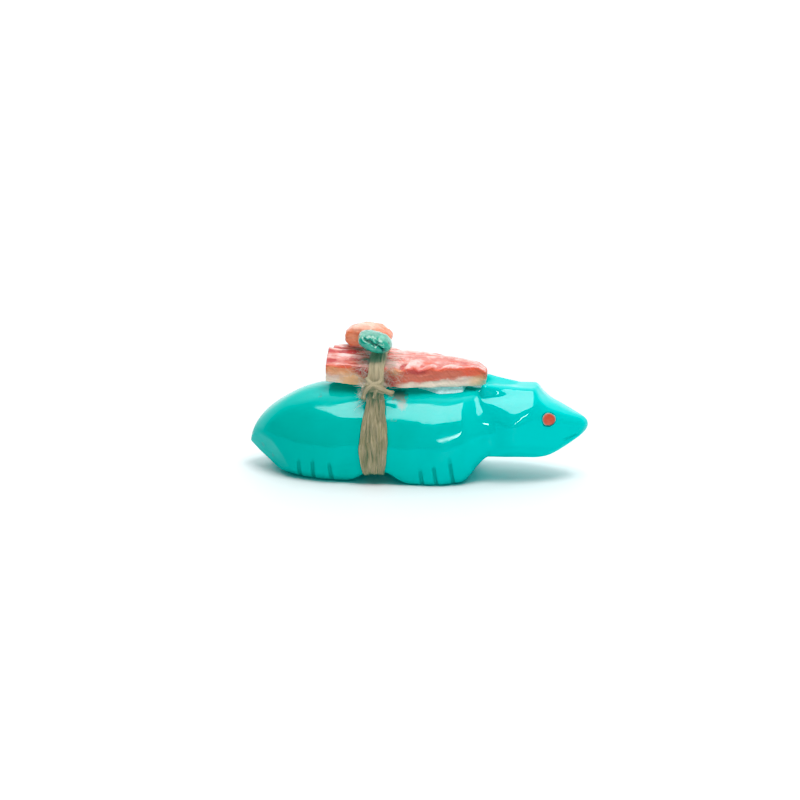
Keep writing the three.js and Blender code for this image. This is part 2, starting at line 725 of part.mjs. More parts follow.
/** Rounded lump or bar between two points. */
function bar(from, to, radius) {
  const along = to.clone().sub(from);
  const capsule = new THREE.CapsuleGeometry(radius, along.length(), 3, 8);
  capsule.applyQuaternion(
    new THREE.Quaternion().setFromUnitVectors(new THREE.Vector3(0, 1, 0), along.clone().normalize()),
  );
  const middle = from.clone().add(to).multiplyScalar(0.5);
  return solid(capsule.translate(middle.x, middle.y, middle.z));
}

function sinewTie() {
  const loops = tiePlanes[0].map((_, k) => {
    const outer = [1, 0, -1].map((a) => tiePoint(k, a, TIE_THICKNESS * (1 - 0.35 * a * a)));
    const inner = [-1, 0, 1].map((a) => tiePoint(k, a, 0));
    return [...outer, ...inner];
  });
  let tie = solid(ringLoft(loops));
  const knotCentre = nearTiePoint(slabBottom + KNOT_RISE, -0.2, TIE_THICKNESS + 0.3 * KNOT_SIZE[1]);
  const lump = new THREE.SphereGeometry(0.5, 12, 8).scale(...KNOT_SIZE);
  tie = tie.add(solid(lump.translate(knotCentre.x, knotCentre.y, knotCentre.z)));
  const radius = CUT_END_DIAMETER / 2;
  const longEnd = new THREE.Vector3(...LONG_END_WAY).setLength(CUT_END_LONG);
  const shortEnd = new THREE.Vector3(...SHORT_END_WAY).setLength(CUT_END_SHORT);
  for (const end of [longEnd, shortEnd]) tie = tie.add(bar(knotCentre, knotCentre.clone().add(end), radius));
  return tie;
}

// Chip and nugget: pebbles with soft facets, each facet [direction, share of the half size]

const CHIP_FACETS = [
  [[1, 0, -0.1], 0.97], [[-1, 0, 0.05], 0.95], [[0, 1, 0], 1], [[0, -1, 0.1], 1],
  [[0, 0, -1], 1], [[0.05, 0, 1], 0.95], [[-0.75, 0.1, 0.7], 0.92], [[0.75, 0, 0.62], 0.9],
  [[-0.8, 0, -0.6], 1.1], [[0.4, -0.6, 0.65], 1.05], [[0.35, 0, -0.94], 0.76],
];
const NUGGET_FACETS = [
  [[1, 0, 0], 0.97], [[-1, 0, 0], 1], [[0, 1, 0], 1], [[0, -1, 0], 0.95], [[0, 0, 1], 1],
  [[0, 0, -1], 1], [[0.7, -0.2, 0.7], 1.1], [[-0.7, -0.3, 0.65], 1.12], [[0.6, -0.3, -0.75], 1.12],
  [[-0.65, -0.2, -0.75], 1.1], [[0.2, -0.85, 0.5], 1.02],
];

const CHIP_CRISPNESS = 7;
const NUGGET_CRISPNESS = 4.5;

/** Pebble of given full sizes, its surface pulled toward the facets. */
function pebble(size, facets, sharpness, detail) {
  const geometry = new THREE.IcosahedronGeometry(1, detail);
  const position = geometry.getAttribute("position");
  const direction = new THREE.Vector3();
  for (let i = 0; i < position.count; i += 1) {
    direction.fromBufferAttribute(position, i).normalize();
    const sum = facets.reduce((total, [normal, share]) => {
      const facing = Math.max(0, direction.dot(new THREE.Vector3(...normal).normalize()));
      return total + (facing / share) ** sharpness;
    }, 0);
    direction.multiplyScalar(sum ** (-1 / sharpness));
    position.setXYZ(i, direction.x, direction.y, direction.z);
  }
  geometry.computeBoundingBox();
  const now = geometry.boundingBox.getSize(new THREE.Vector3());
  geometry.center();
  return geometry.scale(size[0] / now.x, size[1] / now.y, size[2] / now.z);
}

/** Height of the slab's top or the tie at a place in plan. */
function bundleTop(x, y) {
  const s = THREE.MathUtils.clamp((slabTipX - x) / SLAB_LENGTH, 0, 1);
  const near = slabPlace(s, 0).y;
  const far = slabPlace(s, 1).y;
  const t = THREE.MathUtils.clamp((y - near) / (far - near), 0, 1);
  const slabTop = slabBottom + slabThickness(s, t);
  if (Math.abs(x - tieX) > TIE_WIDTH_TOP / 2 + SEAT_CLEARANCE) return slabTop;
  const plane = tiePlanes[(TIE_PLANES - 1) / 2];
  const count = plane.length;
  let top = slabTop;
  plane.forEach((a, k) => {
    const b = plane[(k + 1) % count];
    if (a.z < slabBottom || (a.y - y) * (b.y - y) > 0 || a.y === b.y) return;
    top = Math.max(top, THREE.MathUtils.lerp(a.z, b.z, (y - a.y) / (b.y - a.y)) + TIE_THICKNESS);
  });
  return top;
}

/** Moves a pebble straight down until it lies on the bundle. */
function laidDown(geometry, x, y) {
  geometry.translate(x, y, 0);
  const position = geometry.getAttribute("position");
  let lift = -Infinity;
  for (let i = 0; i < position.count; i += 1) {
    const rest = bundleTop(position.getX(i), position.getY(i)) - position.getZ(i);
    lift = Math.max(lift, rest);
  }
  return geometry.translate(0, 0, lift + SEAT_CLEARANCE);
}

const chipY = CHIP_FROM_TIE[1];

function coralChip() {
  const chip = pebble([CHIP_LENGTH, CHIP_WIDTH, CHIP_HEIGHT], CHIP_FACETS, CHIP_CRISPNESS, 3);
  chip.rotateY(THREE.MathUtils.degToRad(CHIP_TILT));
  return solid(laidDown(chip, tieX + CHIP_FROM_TIE[0], chipY));
}

function turquoiseNugget() {
  const nugget = pebble([NUGGET_LENGTH, NUGGET_WIDTH, NUGGET_HEIGHT], NUGGET_FACETS, NUGGET_CRISPNESS, 3);
  nugget.rotateY(THREE.MathUtils.degToRad(NUGGET_TILT));
  nugget.computeBoundingBox();
  const apart = CHIP_WIDTH / 2 + NUGGET_GAP_TO_CHIP + nugget.boundingBox.max.y;
  return solid(laidDown(nugget, tieX + NUGGET_FROM_TIE, chipY - apart));
}

// Glue pad: an oval cushion between the back and the slab

function gluePad() {
  const centreX = slabTipX - GLUE_FROM_SLAB_TIP;
  const s = GLUE_FROM_SLAB_TIP / SLAB_LENGTH;
  const centreY = slabPlace(s, 0.45).y;
  const top = slabBottom - SEAT_CLEARANCE;
  const rows = [];
  const turns = 20;
  const layer = (share, height) =>
    Array.from({ length: turns }, (_, i) => {
      const turn = (2 * Math.PI * i) / turns;
      const x = centreX + (GLUE_LENGTH / 2) * share * Math.cos(turn);
      const y = centreY + (GLUE_WIDTH / 2) * share * Math.sin(turn);
      return new THREE.Vector3(x, y, height(backHeight(x, y) + SEAT_CLEARANCE));
    });
  for (const share of [0.35, 0.7, 0.95]) rows.push(layer(share, (floor) => floor));
  rows.push(layer(1, (floor) => floor + 0.35 * (top - floor)));
  rows.push(layer(0.98, (floor) => floor + 0.7 * (top - floor)));
  for (const share of [0.9, 0.5]) rows.push(layer(share, () => top));
  return solid(loft(rows));
}

// Assembly

const carving = new THREE.Group();
carving.add(
  namedMesh("animal_body", animalBody(), 0x00b8ad, 0.18),
  namedMesh("eye_left", inlaidEye(1), 0xc2523a, 0.35),
  namedMesh("eye_right", inlaidEye(-1), 0xc2523a, 0.35),
  namedMesh("shell_slab", shellSlab(), 0xd98072, 0.4),
  namedMesh("coral_chip", coralChip(), 0xe89a7a, 0.45),
  namedMesh("turquoise_nugget", turquoiseNugget(), 0x4f9a80, 0.4),
  namedMesh("sinew_tie", sinewTie(), 0x8f8a66, 0.6),
  namedMesh("glue_pad", gluePad(), 0xa9c9c4, 0.15),
);

export default carving;
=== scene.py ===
"""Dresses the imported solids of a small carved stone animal.

The animal is polished turquoise with grooved feet and inlaid eyes. A slab of shell, a coral
chip and a turquoise nugget lie on its back and are held by a band of waxed sinew. Shapes are
worked out in millimetres, in the frame of the solids, and are turned into metres when a mesh
is made.
"""

import logging
import math
from dataclasses import dataclass
from enum import Enum
from functools import cached_property, lru_cache
from typing import Callable, Sequence

import bmesh
import bpy
import numpy as np
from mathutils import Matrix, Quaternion, Vector
from mathutils import noise as lattice


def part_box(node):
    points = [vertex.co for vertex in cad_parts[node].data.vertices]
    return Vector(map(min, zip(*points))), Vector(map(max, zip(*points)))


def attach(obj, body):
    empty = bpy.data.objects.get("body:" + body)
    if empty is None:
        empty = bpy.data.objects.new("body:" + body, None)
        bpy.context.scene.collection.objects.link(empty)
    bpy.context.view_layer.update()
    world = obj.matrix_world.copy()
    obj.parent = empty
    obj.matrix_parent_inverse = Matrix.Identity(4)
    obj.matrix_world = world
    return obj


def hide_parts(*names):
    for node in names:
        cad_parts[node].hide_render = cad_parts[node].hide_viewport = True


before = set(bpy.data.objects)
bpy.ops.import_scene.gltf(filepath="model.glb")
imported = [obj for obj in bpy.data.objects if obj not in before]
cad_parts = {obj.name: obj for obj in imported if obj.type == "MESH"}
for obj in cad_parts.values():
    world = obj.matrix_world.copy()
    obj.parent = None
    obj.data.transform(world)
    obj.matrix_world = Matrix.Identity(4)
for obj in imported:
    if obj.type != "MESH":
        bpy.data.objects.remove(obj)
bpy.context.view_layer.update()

log = logging.getLogger("carving")

MM = 0.001
ROOT = "root"

Array = np.ndarray
Triple = tuple[float, float, float]
Pair = tuple[float, float]
Colour = tuple[float, float, float]
Faces = list[tuple[int, ...]]
Skin = tuple[Array, Faces]
Socket = bpy.types.NodeSocket


# Small mathematics


def soft_min(a: Array, b: Array, k: float) -> Array:
    """Smallest of two values, with a rounded join.

    Args:
        a: First values.
        b: Second values.
        k: Size of the join.

    Returns:
        The blended smaller value.
    """
    h = np.clip(0.5 + 0.5 * (b - a) / k, 0, 1)
    return b + (a - b) * h - k * h * (1 - h)


def soft_max(a: Array, b: Array, k: float) -> Array:
    """Largest of two values, with a rounded join.

    Args:
        a: First values.
        b: Second values.
        k: Size of the join.

    Returns:
        The blended larger value.
    """
    return -soft_min(-a, -b, k)


def smooth_step(low: float, high: float, value: Array) -> Array:
    """Smooth rise from 0 to 1.

    Args:
        low: Where the rise starts.
        high: Where the rise ends.
        value: Places to measure.

    Returns:
        Share of the rise at each place.
    """
    t = np.clip((value - low) / (high - low), 0, 1)
    return t * t * (3 - 2 * t)


class Profile:
    """Smooth curve through (x, value) stations without overshoot."""

    def __init__(self, *stations: Pair) -> None:
        """Keeps the stations and works out the slope at each.

        Args:
            stations: Pairs of place and value, in rising order of place.
        """
        self.places, self.values = np.array(stations, float).T
        runs = np.diff(self.values) / np.diff(self.places)
        product = runs[:-1] * runs[1:]
        total = np.where(product > 0, runs[:-1] + runs[1:], 1.0)
        inner = np.where(product > 0, 2 * product / total, 0.0)
        self.slopes = np.concatenate([runs[:1], inner, runs[-1:]])

    def __call__(self, x: Array) -> Array:
        """Value of the curve.

        Args:
            x: Places to measure.

        Returns:
            The value at each place.
        """
        i = np.clip(np.searchsorted(self.places, x) - 1, 0, len(self.places) - 2)
        span = self.places[i + 1] - self.places[i]
        t = np.clip((x - self.places[i]) / span, 0, 1)
        rest = 1 - t
        return (
            (1 + 2 * t) * rest * rest * self.values[i]
            + t * rest * rest * span * self.slopes[i]
            + t * t * (3 - 2 * t) * self.values[i + 1]
            - t * t * rest * span * self.slopes[i + 1]
        )


class Ripple:
    """Smooth seeded wobble over one or more coordinates, from about -1 to 1."""

    def __init__(self, seed: int, dimensions: int = 1, waves: int = 5, pitch: float = 1.0) -> None:
        """Draws the waves.

        Args:
            seed: Fixes the draw.
            dimensions: Number of coordinates.
            waves: Number of waves that are summed.
            pitch: Typical length of a wave.
        """
        draw = np.random.default_rng(seed)
        ways = draw.normal(size=(waves, dimensions))
        ways /= np.linalg.norm(ways, axis=1, keepdims=True)
        self.waves = ways * 2 * math.pi / (pitch * draw.uniform(0.6, 1.6, (waves, 1)))
        self.starts = draw.uniform(0, 2 * math.pi, waves)
        self.share = 1.3 / math.sqrt(waves)

    def __call__(self, *coordinates: Array) -> Array:
        """Wobble at the given coordinates.

        Args:
            coordinates: One array for each dimension, all of one shape.

        Returns:
            The wobble at each place.
        """
        place = np.stack(np.broadcast_arrays(*coordinates), -1).astype(float)
        return self.share * np.sin(place @ self.waves.T + self.starts).sum(-1)


def unit(vectors: Array) -> Array:
    """Vectors scaled to length 1."""
    return vectors / np.maximum(np.linalg.norm(vectors, axis=-1, keepdims=True), 1e-12)


def full_turn(count: int) -> Array:
    """Angles of one full turn, without its end."""
    return np.linspace(0, 2 * math.pi, count, endpoint=False)


def bump(s: Array, t: Array, at: Pair, spread: Pair) -> Array:
    """Soft bump of height 1 over two coordinates."""
    return np.exp(-(((s - at[0]) / spread[0]) ** 2) - ((t - at[1]) / spread[1]) ** 2)


def quarter_round(past: Array, depth: float) -> Array:
    """How far a rounded edge falls back, by the share of its height that is past."""
    return depth * (1 - np.sqrt(np.clip(1 - np.clip(past, 0, 1) ** 2, 0, 1)))


# Meshes


def ring_faces(rows: int, columns: int, closed_rows: bool = False) -> Faces:
    """Quads between rows of points, each row closed on itself.

    Args:
        rows: Number of rows.
        columns: Points in a row.
        closed_rows: True where the last row joins the first.

    Returns:
        Faces as tuples of point numbers.
    """
    last = rows if closed_rows else rows - 1
    i, j = np.meshgrid(np.arange(last), np.arange(columns), indexing="ij")
    k, n = (j + 1) % columns, (i + 1) % rows
    quads = np.stack([i * columns + j, i * columns + k, n * columns + k, n * columns + j], -1)
    return [tuple(q) for q in quads.reshape(-1, 4).tolist()]


def capped(rows: Array, tips: tuple[Array, Array] | None = None) -> Skin:
    """Closed skin over rows of points, with a point in the middle of each end.

    Args:
        rows: Points, by row and column.
        tips: End points, or None to take the middle of each end row.

    Returns:
        Points and faces.
    """
    count, columns = rows.shape[:2]
    ends = tips or (rows[0].mean(0), rows[-1].mean(0))
    points = np.concatenate([rows.reshape(-1, 3), np.array(ends)])
    faces = ring_faces(count, columns)
    start, base = count * columns, (count - 1) * columns
    for j in range(columns):
        k = (j + 1) % columns
        faces.append((k, j, start))
        faces.append((base + j, base + k, start + 1))
    return points, faces


def joined(parts: Sequence[Skin]) -> Skin:
    """Several skins as one.

    Args:
        parts: Points and faces of each skin.

    Returns:
        Points and faces of all of them.
    """
    points, faces, base = [], [], 0
    for part_points, part_faces in parts:
        points.append(part_points)
        faces.extend(tuple(n + base for n in face) for face in part_faces)
        base += len(part_points)
    return np.concatenate(points), faces


def added(name: str, data: bpy.types.ID) -> bpy.types.Object:
    """New object of the scene that holds some data.

    Args:
        name: Name of the object.
        data: Its mesh, lamp or camera.

    Returns:
        The new object.
    """
    thing = bpy.data.objects.new(name, data)
    bpy.context.scene.collection.objects.link(thing)
    return thing


def make_piece(
    name: str,
    skin: Skin,
    material: bpy.types.Material,
    marks: dict[str, Array] | None = None,
) -> bpy.types.Object:
    """Makes one smooth-shaded mesh object that rides on the part.

    Args:
        name: Name of the piece.
        skin: Points in millimetres, and faces.
        material: Finish of the piece.
        marks: Values at the points that the finish reads, by name.

    Returns:
        The new object.
    """
    points, faces = skin
    mesh = bpy.data.meshes.new(name)
    mesh.from_pydata((points * MM).tolist(), [], faces)
    mesh.validate()
    for mark, values in (marks or {}).items():
        mesh.attributes.new(mark, "FLOAT", "POINT").data.foreach_set("value", values.astype(np.float32))
    mesh.shade_smooth()
    piece = added(name, mesh)
    mesh.calc_loop_triangles()
    corners = np.empty(len(mesh.loop_triangles) * 3, np.int32)
    mesh.loop_triangles.foreach_get("vertices", corners)
    a, b, c = points[corners.reshape(-1, 3)].transpose(1, 0, 2)
    if (np.cross(a, b) * c).sum() < 0:
        mesh.flip_normals()
    mesh.materials.append(material)
    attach(piece, ROOT)
    log.info("%s: %d triangles", name, len(mesh.loop_triangles))
    return piece


# The carved body


@dataclass(frozen=True)
class Facet:
    """Flat ground face, mirrored across the middle."""

    normal: Triple
    point: Triple

    def over(self, x: Array, y: Array, z: Array) -> Array:
        """Signed height of points over the facet.

        Args:
            x: Points, along.
            y: Points, across.
            z: Points, up.

        Returns:
            Height of each point.
        """
        n = unit(np.array(self.normal, float))
        p = self.point
        return (x - p[0]) * n[0] + (np.abs(y) - p[1]) * n[1] + (z - p[2]) * n[2]


@dataclass(frozen=True)
class RoundBar:
    """Rounded bar, mirrored across the middle, that is added."""

    start: Triple
    end: Triple
    radius: float

    def outside(self, x: Array, y: Array, z: Array) -> Array:
        """Signed distance of points to the bar.

        Args:
            x: Points, along.
            y: Points, across.
            z: Points, up.

        Returns:
            Distance of each point, negative inside.
        """
        a = np.array(self.start, float)
        along = np.array(self.end, float) - a
        offset = np.stack([x - a[0], np.abs(y) - a[1], z - a[2]], -1)
        t = np.clip(offset @ along / (along @ along), 0, 1)
        return np.linalg.norm(offset - t[..., None] * along, axis=-1) - self.radius


def facet_block(facets: Sequence[Facet], blend: float, x: Array, y: Array, z: Array) -> Array:
    """Rounded common part of facets.

    Args:
        facets: The ground faces.
        blend: Size of the rounding between them.
        x: Points, along.
        y: Points, across.
        z: Points, up.

    Returns:
        Field value, negative inside.
    """
    out = facets[0].over(x, y, z)
    for facet in facets[1:]:
        out = soft_max(out, facet.over(x, y, z), blend)
    return out


@dataclass(frozen=True)
class Joins:
    """Sizes of the rounded joins between the carving's forms."""

    cranium: float = 0.4
    bridge: float = 0.9
    skull: float = 0.9
    cheeks: float = 0.9
    head: float = 1.3
    neck: Pair = (0.5, 1.3)
    neck_heights: Pair = (13.0, 8.0)
    neck_end: float = 1.0
    ear: float = 1.3
    rump: float = 0.1
    undercut: float = 0.4
    arch_walls: float = 0.8
    arch: float = 1.2


@dataclass(frozen=True)
class CarvedForm:
    """The carved animal as a field in millimetres, negative inside."""

    joins: Joins = Joins()
    tail: Pair = (-29.0, 4.0)
    widest_height: Profile = Profile((-29, 3.5), (4, 3.5), (12, 6.2), (18, 8.0))
    neck_start: Pair = (7.0, 11.0)
    neck_end: float = 16.0
    thinnest: float = 0.02
    half_width: Profile = Profile(
        (-29, 8.9), (-14, 9.1), (-6, 8.9), (3, 9.0), (8, 8.1), (12, 5.7), (15, 3.9), (18, 3.0)
    )
    back: Profile = Profile(
        (-29, 15.2), (-14, 15.4), (-7, 15.75), (0, 15.55), (6, 15.3), (9, 15.45), (12, 15.4), (18, 13.0)
    )
    belly: Profile = Profile(
        (-29, -1.2), (-14, -1.2), (3, -1.2), (7.9, -0.6), (10.9, 2.8), (12.7, 5.0), (18, 8.0)
    )
    lower_roundness: Profile = Profile((-29, 2.8), (-20, 2.4), (-12.5, 2.5), (-5, 3.3), (18, 3.4))
    upper_roundness: float = 2.2
    rump_width: Pair = (16, 0.72)
    rump_back: Pair = (17, 0.55)
    rump_belly: Pair = (13, 0.5)
    cranium: tuple[Facet, ...] = (
        Facet((0, 0, 1), (0, 0, 15.95)),
        Facet((0, 0.762, 0.648), (17, 2.1, 15.95)),
        Facet((0.47, 0.673, 0.572), (20.1, 3.35, 14.55)),
        Facet((0.8, 0.12, 0.55), (20.4, 0, 15.95)),
        Facet((-0.773, 0.633, 0.027), (11, 3.9, 13.9)),
        Facet((-0.35, 0, 0.94), (12.6, 0, 15.95)),
    )
    bridge: tuple[Facet, ...] = (
        Facet((0.43, 0, 0.9), (22, 0, 13.8)),
        Facet((0.4, 0.55, 0.72), (22, 2.5, 13.6)),
        Facet((0, 0, 1), (0, 0, 14.2)),
        Facet((0, 0.762, 0.648), (17, 2.0, 15.9)),
    )
    cheeks: tuple[Facet, ...] = (
        Facet((0.287, 1, 0.1), (16.4, 5.85, 11.9)),
        Facet((-0.24, 0.96, 0.1), (16.4, 5.85, 11.9)),
        Facet((0.44, 0.89, 0.05), (25.0, 3.05, 10)),
        Facet((0.12, 0.7, -0.7), (14, 5.3, 4.9)),
        Facet((-0.03, 0, -1), (14, 0, 4.2)),
        Facet((0.42, 0.1, -0.9), (23.9, 2.5, 5.05)),
        Facet((0.62, 0.15, -0.78), (26.8, 1.5, 7.0)),
        Facet((1, 0.3, -0.15), (29.1, 0, 10)),
        Facet((-1, 0, 0), (7, 0, 0)),
    )
    rump: Facet = Facet((-0.698, 0.685, -0.209), (-29.0, 0, 3.9))
    undercut: Facet = Facet((-0.5, 0, -0.87), (-29.0, 0, 3.9))
    ear_ridge: RoundBar = RoundBar((11.7, 2.8, 16.0), (15.6, 1.6, 15.0), 0.75)
    nape_hollow: Pair = (9.9, 12.4)
    hollow_spread: Pair = (2.4, 7.0)
    hollow_depth: float = 0.35
    notch_height: float = 1.9
    notch_ends: Pair = (-10.2, -2.1)
    notch_slope: Pair = (0.62, 0.78)
    reach: float = 15.0
    inner_height: float = 5.0
    march_steps: int = 36
    halvings: int = 12
    nudge: float = 0.05

    def share(self, x: Array, rounding: Pair) -> Array:
        """Share of the full section that the rounded rump has reached at x."""
        t = np.clip((x - self.tail[0]) / rounding[0], 0, 1)
        return np.maximum(1 - (1 - t) ** 2, 1e-9) ** rounding[1]

    def trunk(self, x: Array, y: Array, z: Array) -> Array:
        """Field of the trunk, from the tail to the neck.

        Args:
            x: Points, along.
            y: Points, across.
            z: Points, up.

        Returns:
            Field value, negative inside.
        """
        tail_x, tail_z = self.tail
        back_share = self.share(x, self.rump_back)
        axis = tail_z + (self.widest_height(x) - tail_z) * back_share
        width = np.maximum(self.half_width(x) * self.share(x, self.rump_width), self.thinnest)
        above = tail_z + (self.back(x) - tail_z) * back_share - axis
        below = axis - tail_z + (tail_z - self.belly(x)) * self.share(x, self.rump_belly)
        upper = z > axis
        height = np.maximum(np.where(upper, above, below), self.thinnest)
        power = np.where(upper, self.upper_roundness, self.lower_roundness(x))
        reach = ((np.abs(y) / width) ** power + (np.abs(z - axis) / height) ** power) ** (1 / power)
        thin, full = np.minimum(width, height), np.minimum(width, np.maximum(above, below))
        section = (reach - 1) * (thin + (full - thin) * smooth_step(*self.neck_start, x))
        section = np.where(x < tail_x, np.maximum(section, tail_x - x + self.thinnest), section)
        return soft_max(section, x - self.neck_end, self.joins.neck_end)

    def notch(self, x: Array, z: Array) -> Array:
        """Field of the arch under the belly.

        Args:
            x: Points, along.
            z: Points, up.

        Returns:
            Field value, negative inside the arch.
        """
        slope, rise = self.notch_slope
        hind, front = self.notch_ends
        join = self.joins.arch_walls
        walls = soft_max(z * rise - (x - hind) * slope, z * rise + (x - front) * slope, join)
        return soft_max(z - self.notch_height, walls, join)

    def plain(self, points: Array) -> Array:
        """Field of the carving before its grooves, sockets and soles.

        Args:
            points: Places, with x, y and z in the last axis.

        Returns:
            Field value, negative inside.
        """
        x, y, z = np.moveaxis(points, -1, 0)
        join, place = self.joins, (x, y, z)
        cranium = facet_block(self.cranium, join.cranium, *place)
        skull = soft_min(cranium, facet_block(self.bridge, join.bridge, *place), join.skull)
        head = soft_max(skull, facet_block(self.cheeks, join.cheeks, *place), join.head)
        neck = join.neck[0] + join.neck[1] * smooth_step(*join.neck_heights, z)
        out = soft_min(self.trunk(*place), head, neck)
        out = soft_min(out, self.ear_ridge.outside(*place), join.ear)
        (nape_x, nape_z), (wide, high) = self.nape_hollow, self.hollow_spread
        out = out + self.hollow_depth * np.exp(-((x - nape_x) ** 2 / wide + (z - nape_z) ** 2 / high))
        out = soft_max(out, self.rump.over(*place), join.rump)
        out = soft_max(out, self.undercut.over(*place), join.undercut)
        return soft_max(out, -self.notch(x, z), join.arch)

    def hits(
        self, origins: Array, ways: Array, surface: Callable[[Array], Array] | None = None
    ) -> Array:
        """Places where rays first leave the body.

        Args:
            origins: Start points inside.
            ways: Directions of the rays.
            surface: Field to follow, or None for the plain one.

        Returns:
            The point at which each ray leaves.
        """
        at = surface or self.plain
        pitch = self.reach / self.march_steps
        inner = np.zeros(origins.shape[:-1])
        outer = np.full(origins.shape[:-1], self.reach)
        found = np.zeros(origins.shape[:-1], bool)
        for i in range(1, self.march_steps + 1):
            left = ~found & (at(origins + ways * (pitch * i)) > 0)
            outer[left], inner[left] = pitch * i, pitch * (i - 1)
            found |= left
        for _ in range(self.halvings):
            middle = (inner + outer) / 2
            out = at(origins + ways * middle[..., None]) > 0
            outer, inner = np.where(out, middle, outer), np.where(out, inner, middle)
        return origins + ways * ((inner + outer) / 2)[..., None]

    def facing(self, points: Array) -> Array:
        """Outward directions of the plain field.

        Args:
            points: Places, with x, y and z in the last axis.

        Returns:
            Unit vectors.
        """
        nudges = np.eye(3) * self.nudge
        return unit(np.stack([self.plain(points + n) - self.plain(points - n) for n in nudges], -1))

    def flank(self, x: float, z: float, side: int) -> Array:
        """Point of one flank at a given place and height."""
        return self.hits(np.array([[x, 0.0, z]]), np.array([[0.0, float(side), 0.0]]))[0]

    def back_height(self, x: Array, y: Array) -> Array:
        """Height of the back over places in plan.

        Args:
            x: Points, along.
            y: Points, across.

        Returns:
            Height at each place.
        """
        start = np.stack([x, y, np.full_like(x, self.inner_height)], -1)
        return self.hits(start, np.broadcast_to([0.0, 0.0, 1.0], start.shape))[..., 2]


@dataclass(frozen=True)
class SawCut:
    """Shallow groove ground into the surface along a line seen from the side."""

    start: Pair
    end: Pair
    width: float = 0.8
    depth: float = 0.25
    run_out: float = 1.4
    end_share: float = 0.45
    roundness: float = 1.4
    lead_in: float = 0.2
    tail_off: float = 0.9
    overrun: float = 0.4

    def sink(self, x: Array, z: Array) -> Array:
        """Depth of the groove.

        Args:
            x: Points, along.
            z: Points, up.

        Returns:
            Depth at each point, 0 beside the groove.
        """
        a, b = np.array(self.start), np.array(self.end)
        length = float(np.linalg.norm(b - a))
        way = (b - a) / length
        along = (x - a[0]) * way[0] + (z - a[1]) * way[1]
        beside = np.abs((x - a[0]) * way[1] - (z - a[1]) * way[0])
        round_share = np.clip(1 - (beside / (self.width / 2)) ** 2, 0, 1) ** self.roundness
        started = smooth_step(-self.lead_in, self.run_out, along)
        ended = 1 - (1 - self.end_share) * smooth_step(length - self.tail_off, length, along)
        return self.depth * round_share * started * ended * (along < length + self.overrun)


@dataclass(frozen=True)
class EyeSeat:
    """Place of the two inlaid eyes and the sockets that are drilled for them."""

    x: float = 22.65
    z: float = 11.2
    radius: float = 1.0
    socket_radius: float = 1.18
    socket_depth: float = 0.4

    @lru_cache(maxsize=None)
    def centre(self, form: CarvedForm, side: int = 1) -> Array:
        """Middle of the eye on the surface of one side."""
        return form.flank(self.x, self.z, side)

    @lru_cache(maxsize=None)
    def outward(self, form: CarvedForm, side: int = 1) -> Array:
        """Direction that the eye faces on one side."""
        return form.facing(self.centre(form, side)[None])[0]

    def inside(self, form: CarvedForm, points: Array) -> Array:
        """Field of both sockets.

        Args:
            form: The carved body.
            points: Places, with x, y and z in the last axis.

        Returns:
            Field value, negative inside a socket.
        """
        folded = points * np.array([1, 0, 1]) + np.abs(points) * np.array([0, 1, 0])
        offset = folded - self.centre(form)
        height = offset @ self.outward(form)
        beside = np.linalg.norm(offset - height[..., None] * self.outward(form), axis=-1)
        return np.maximum(beside - self.socket_radius, -(height + self.socket_depth))


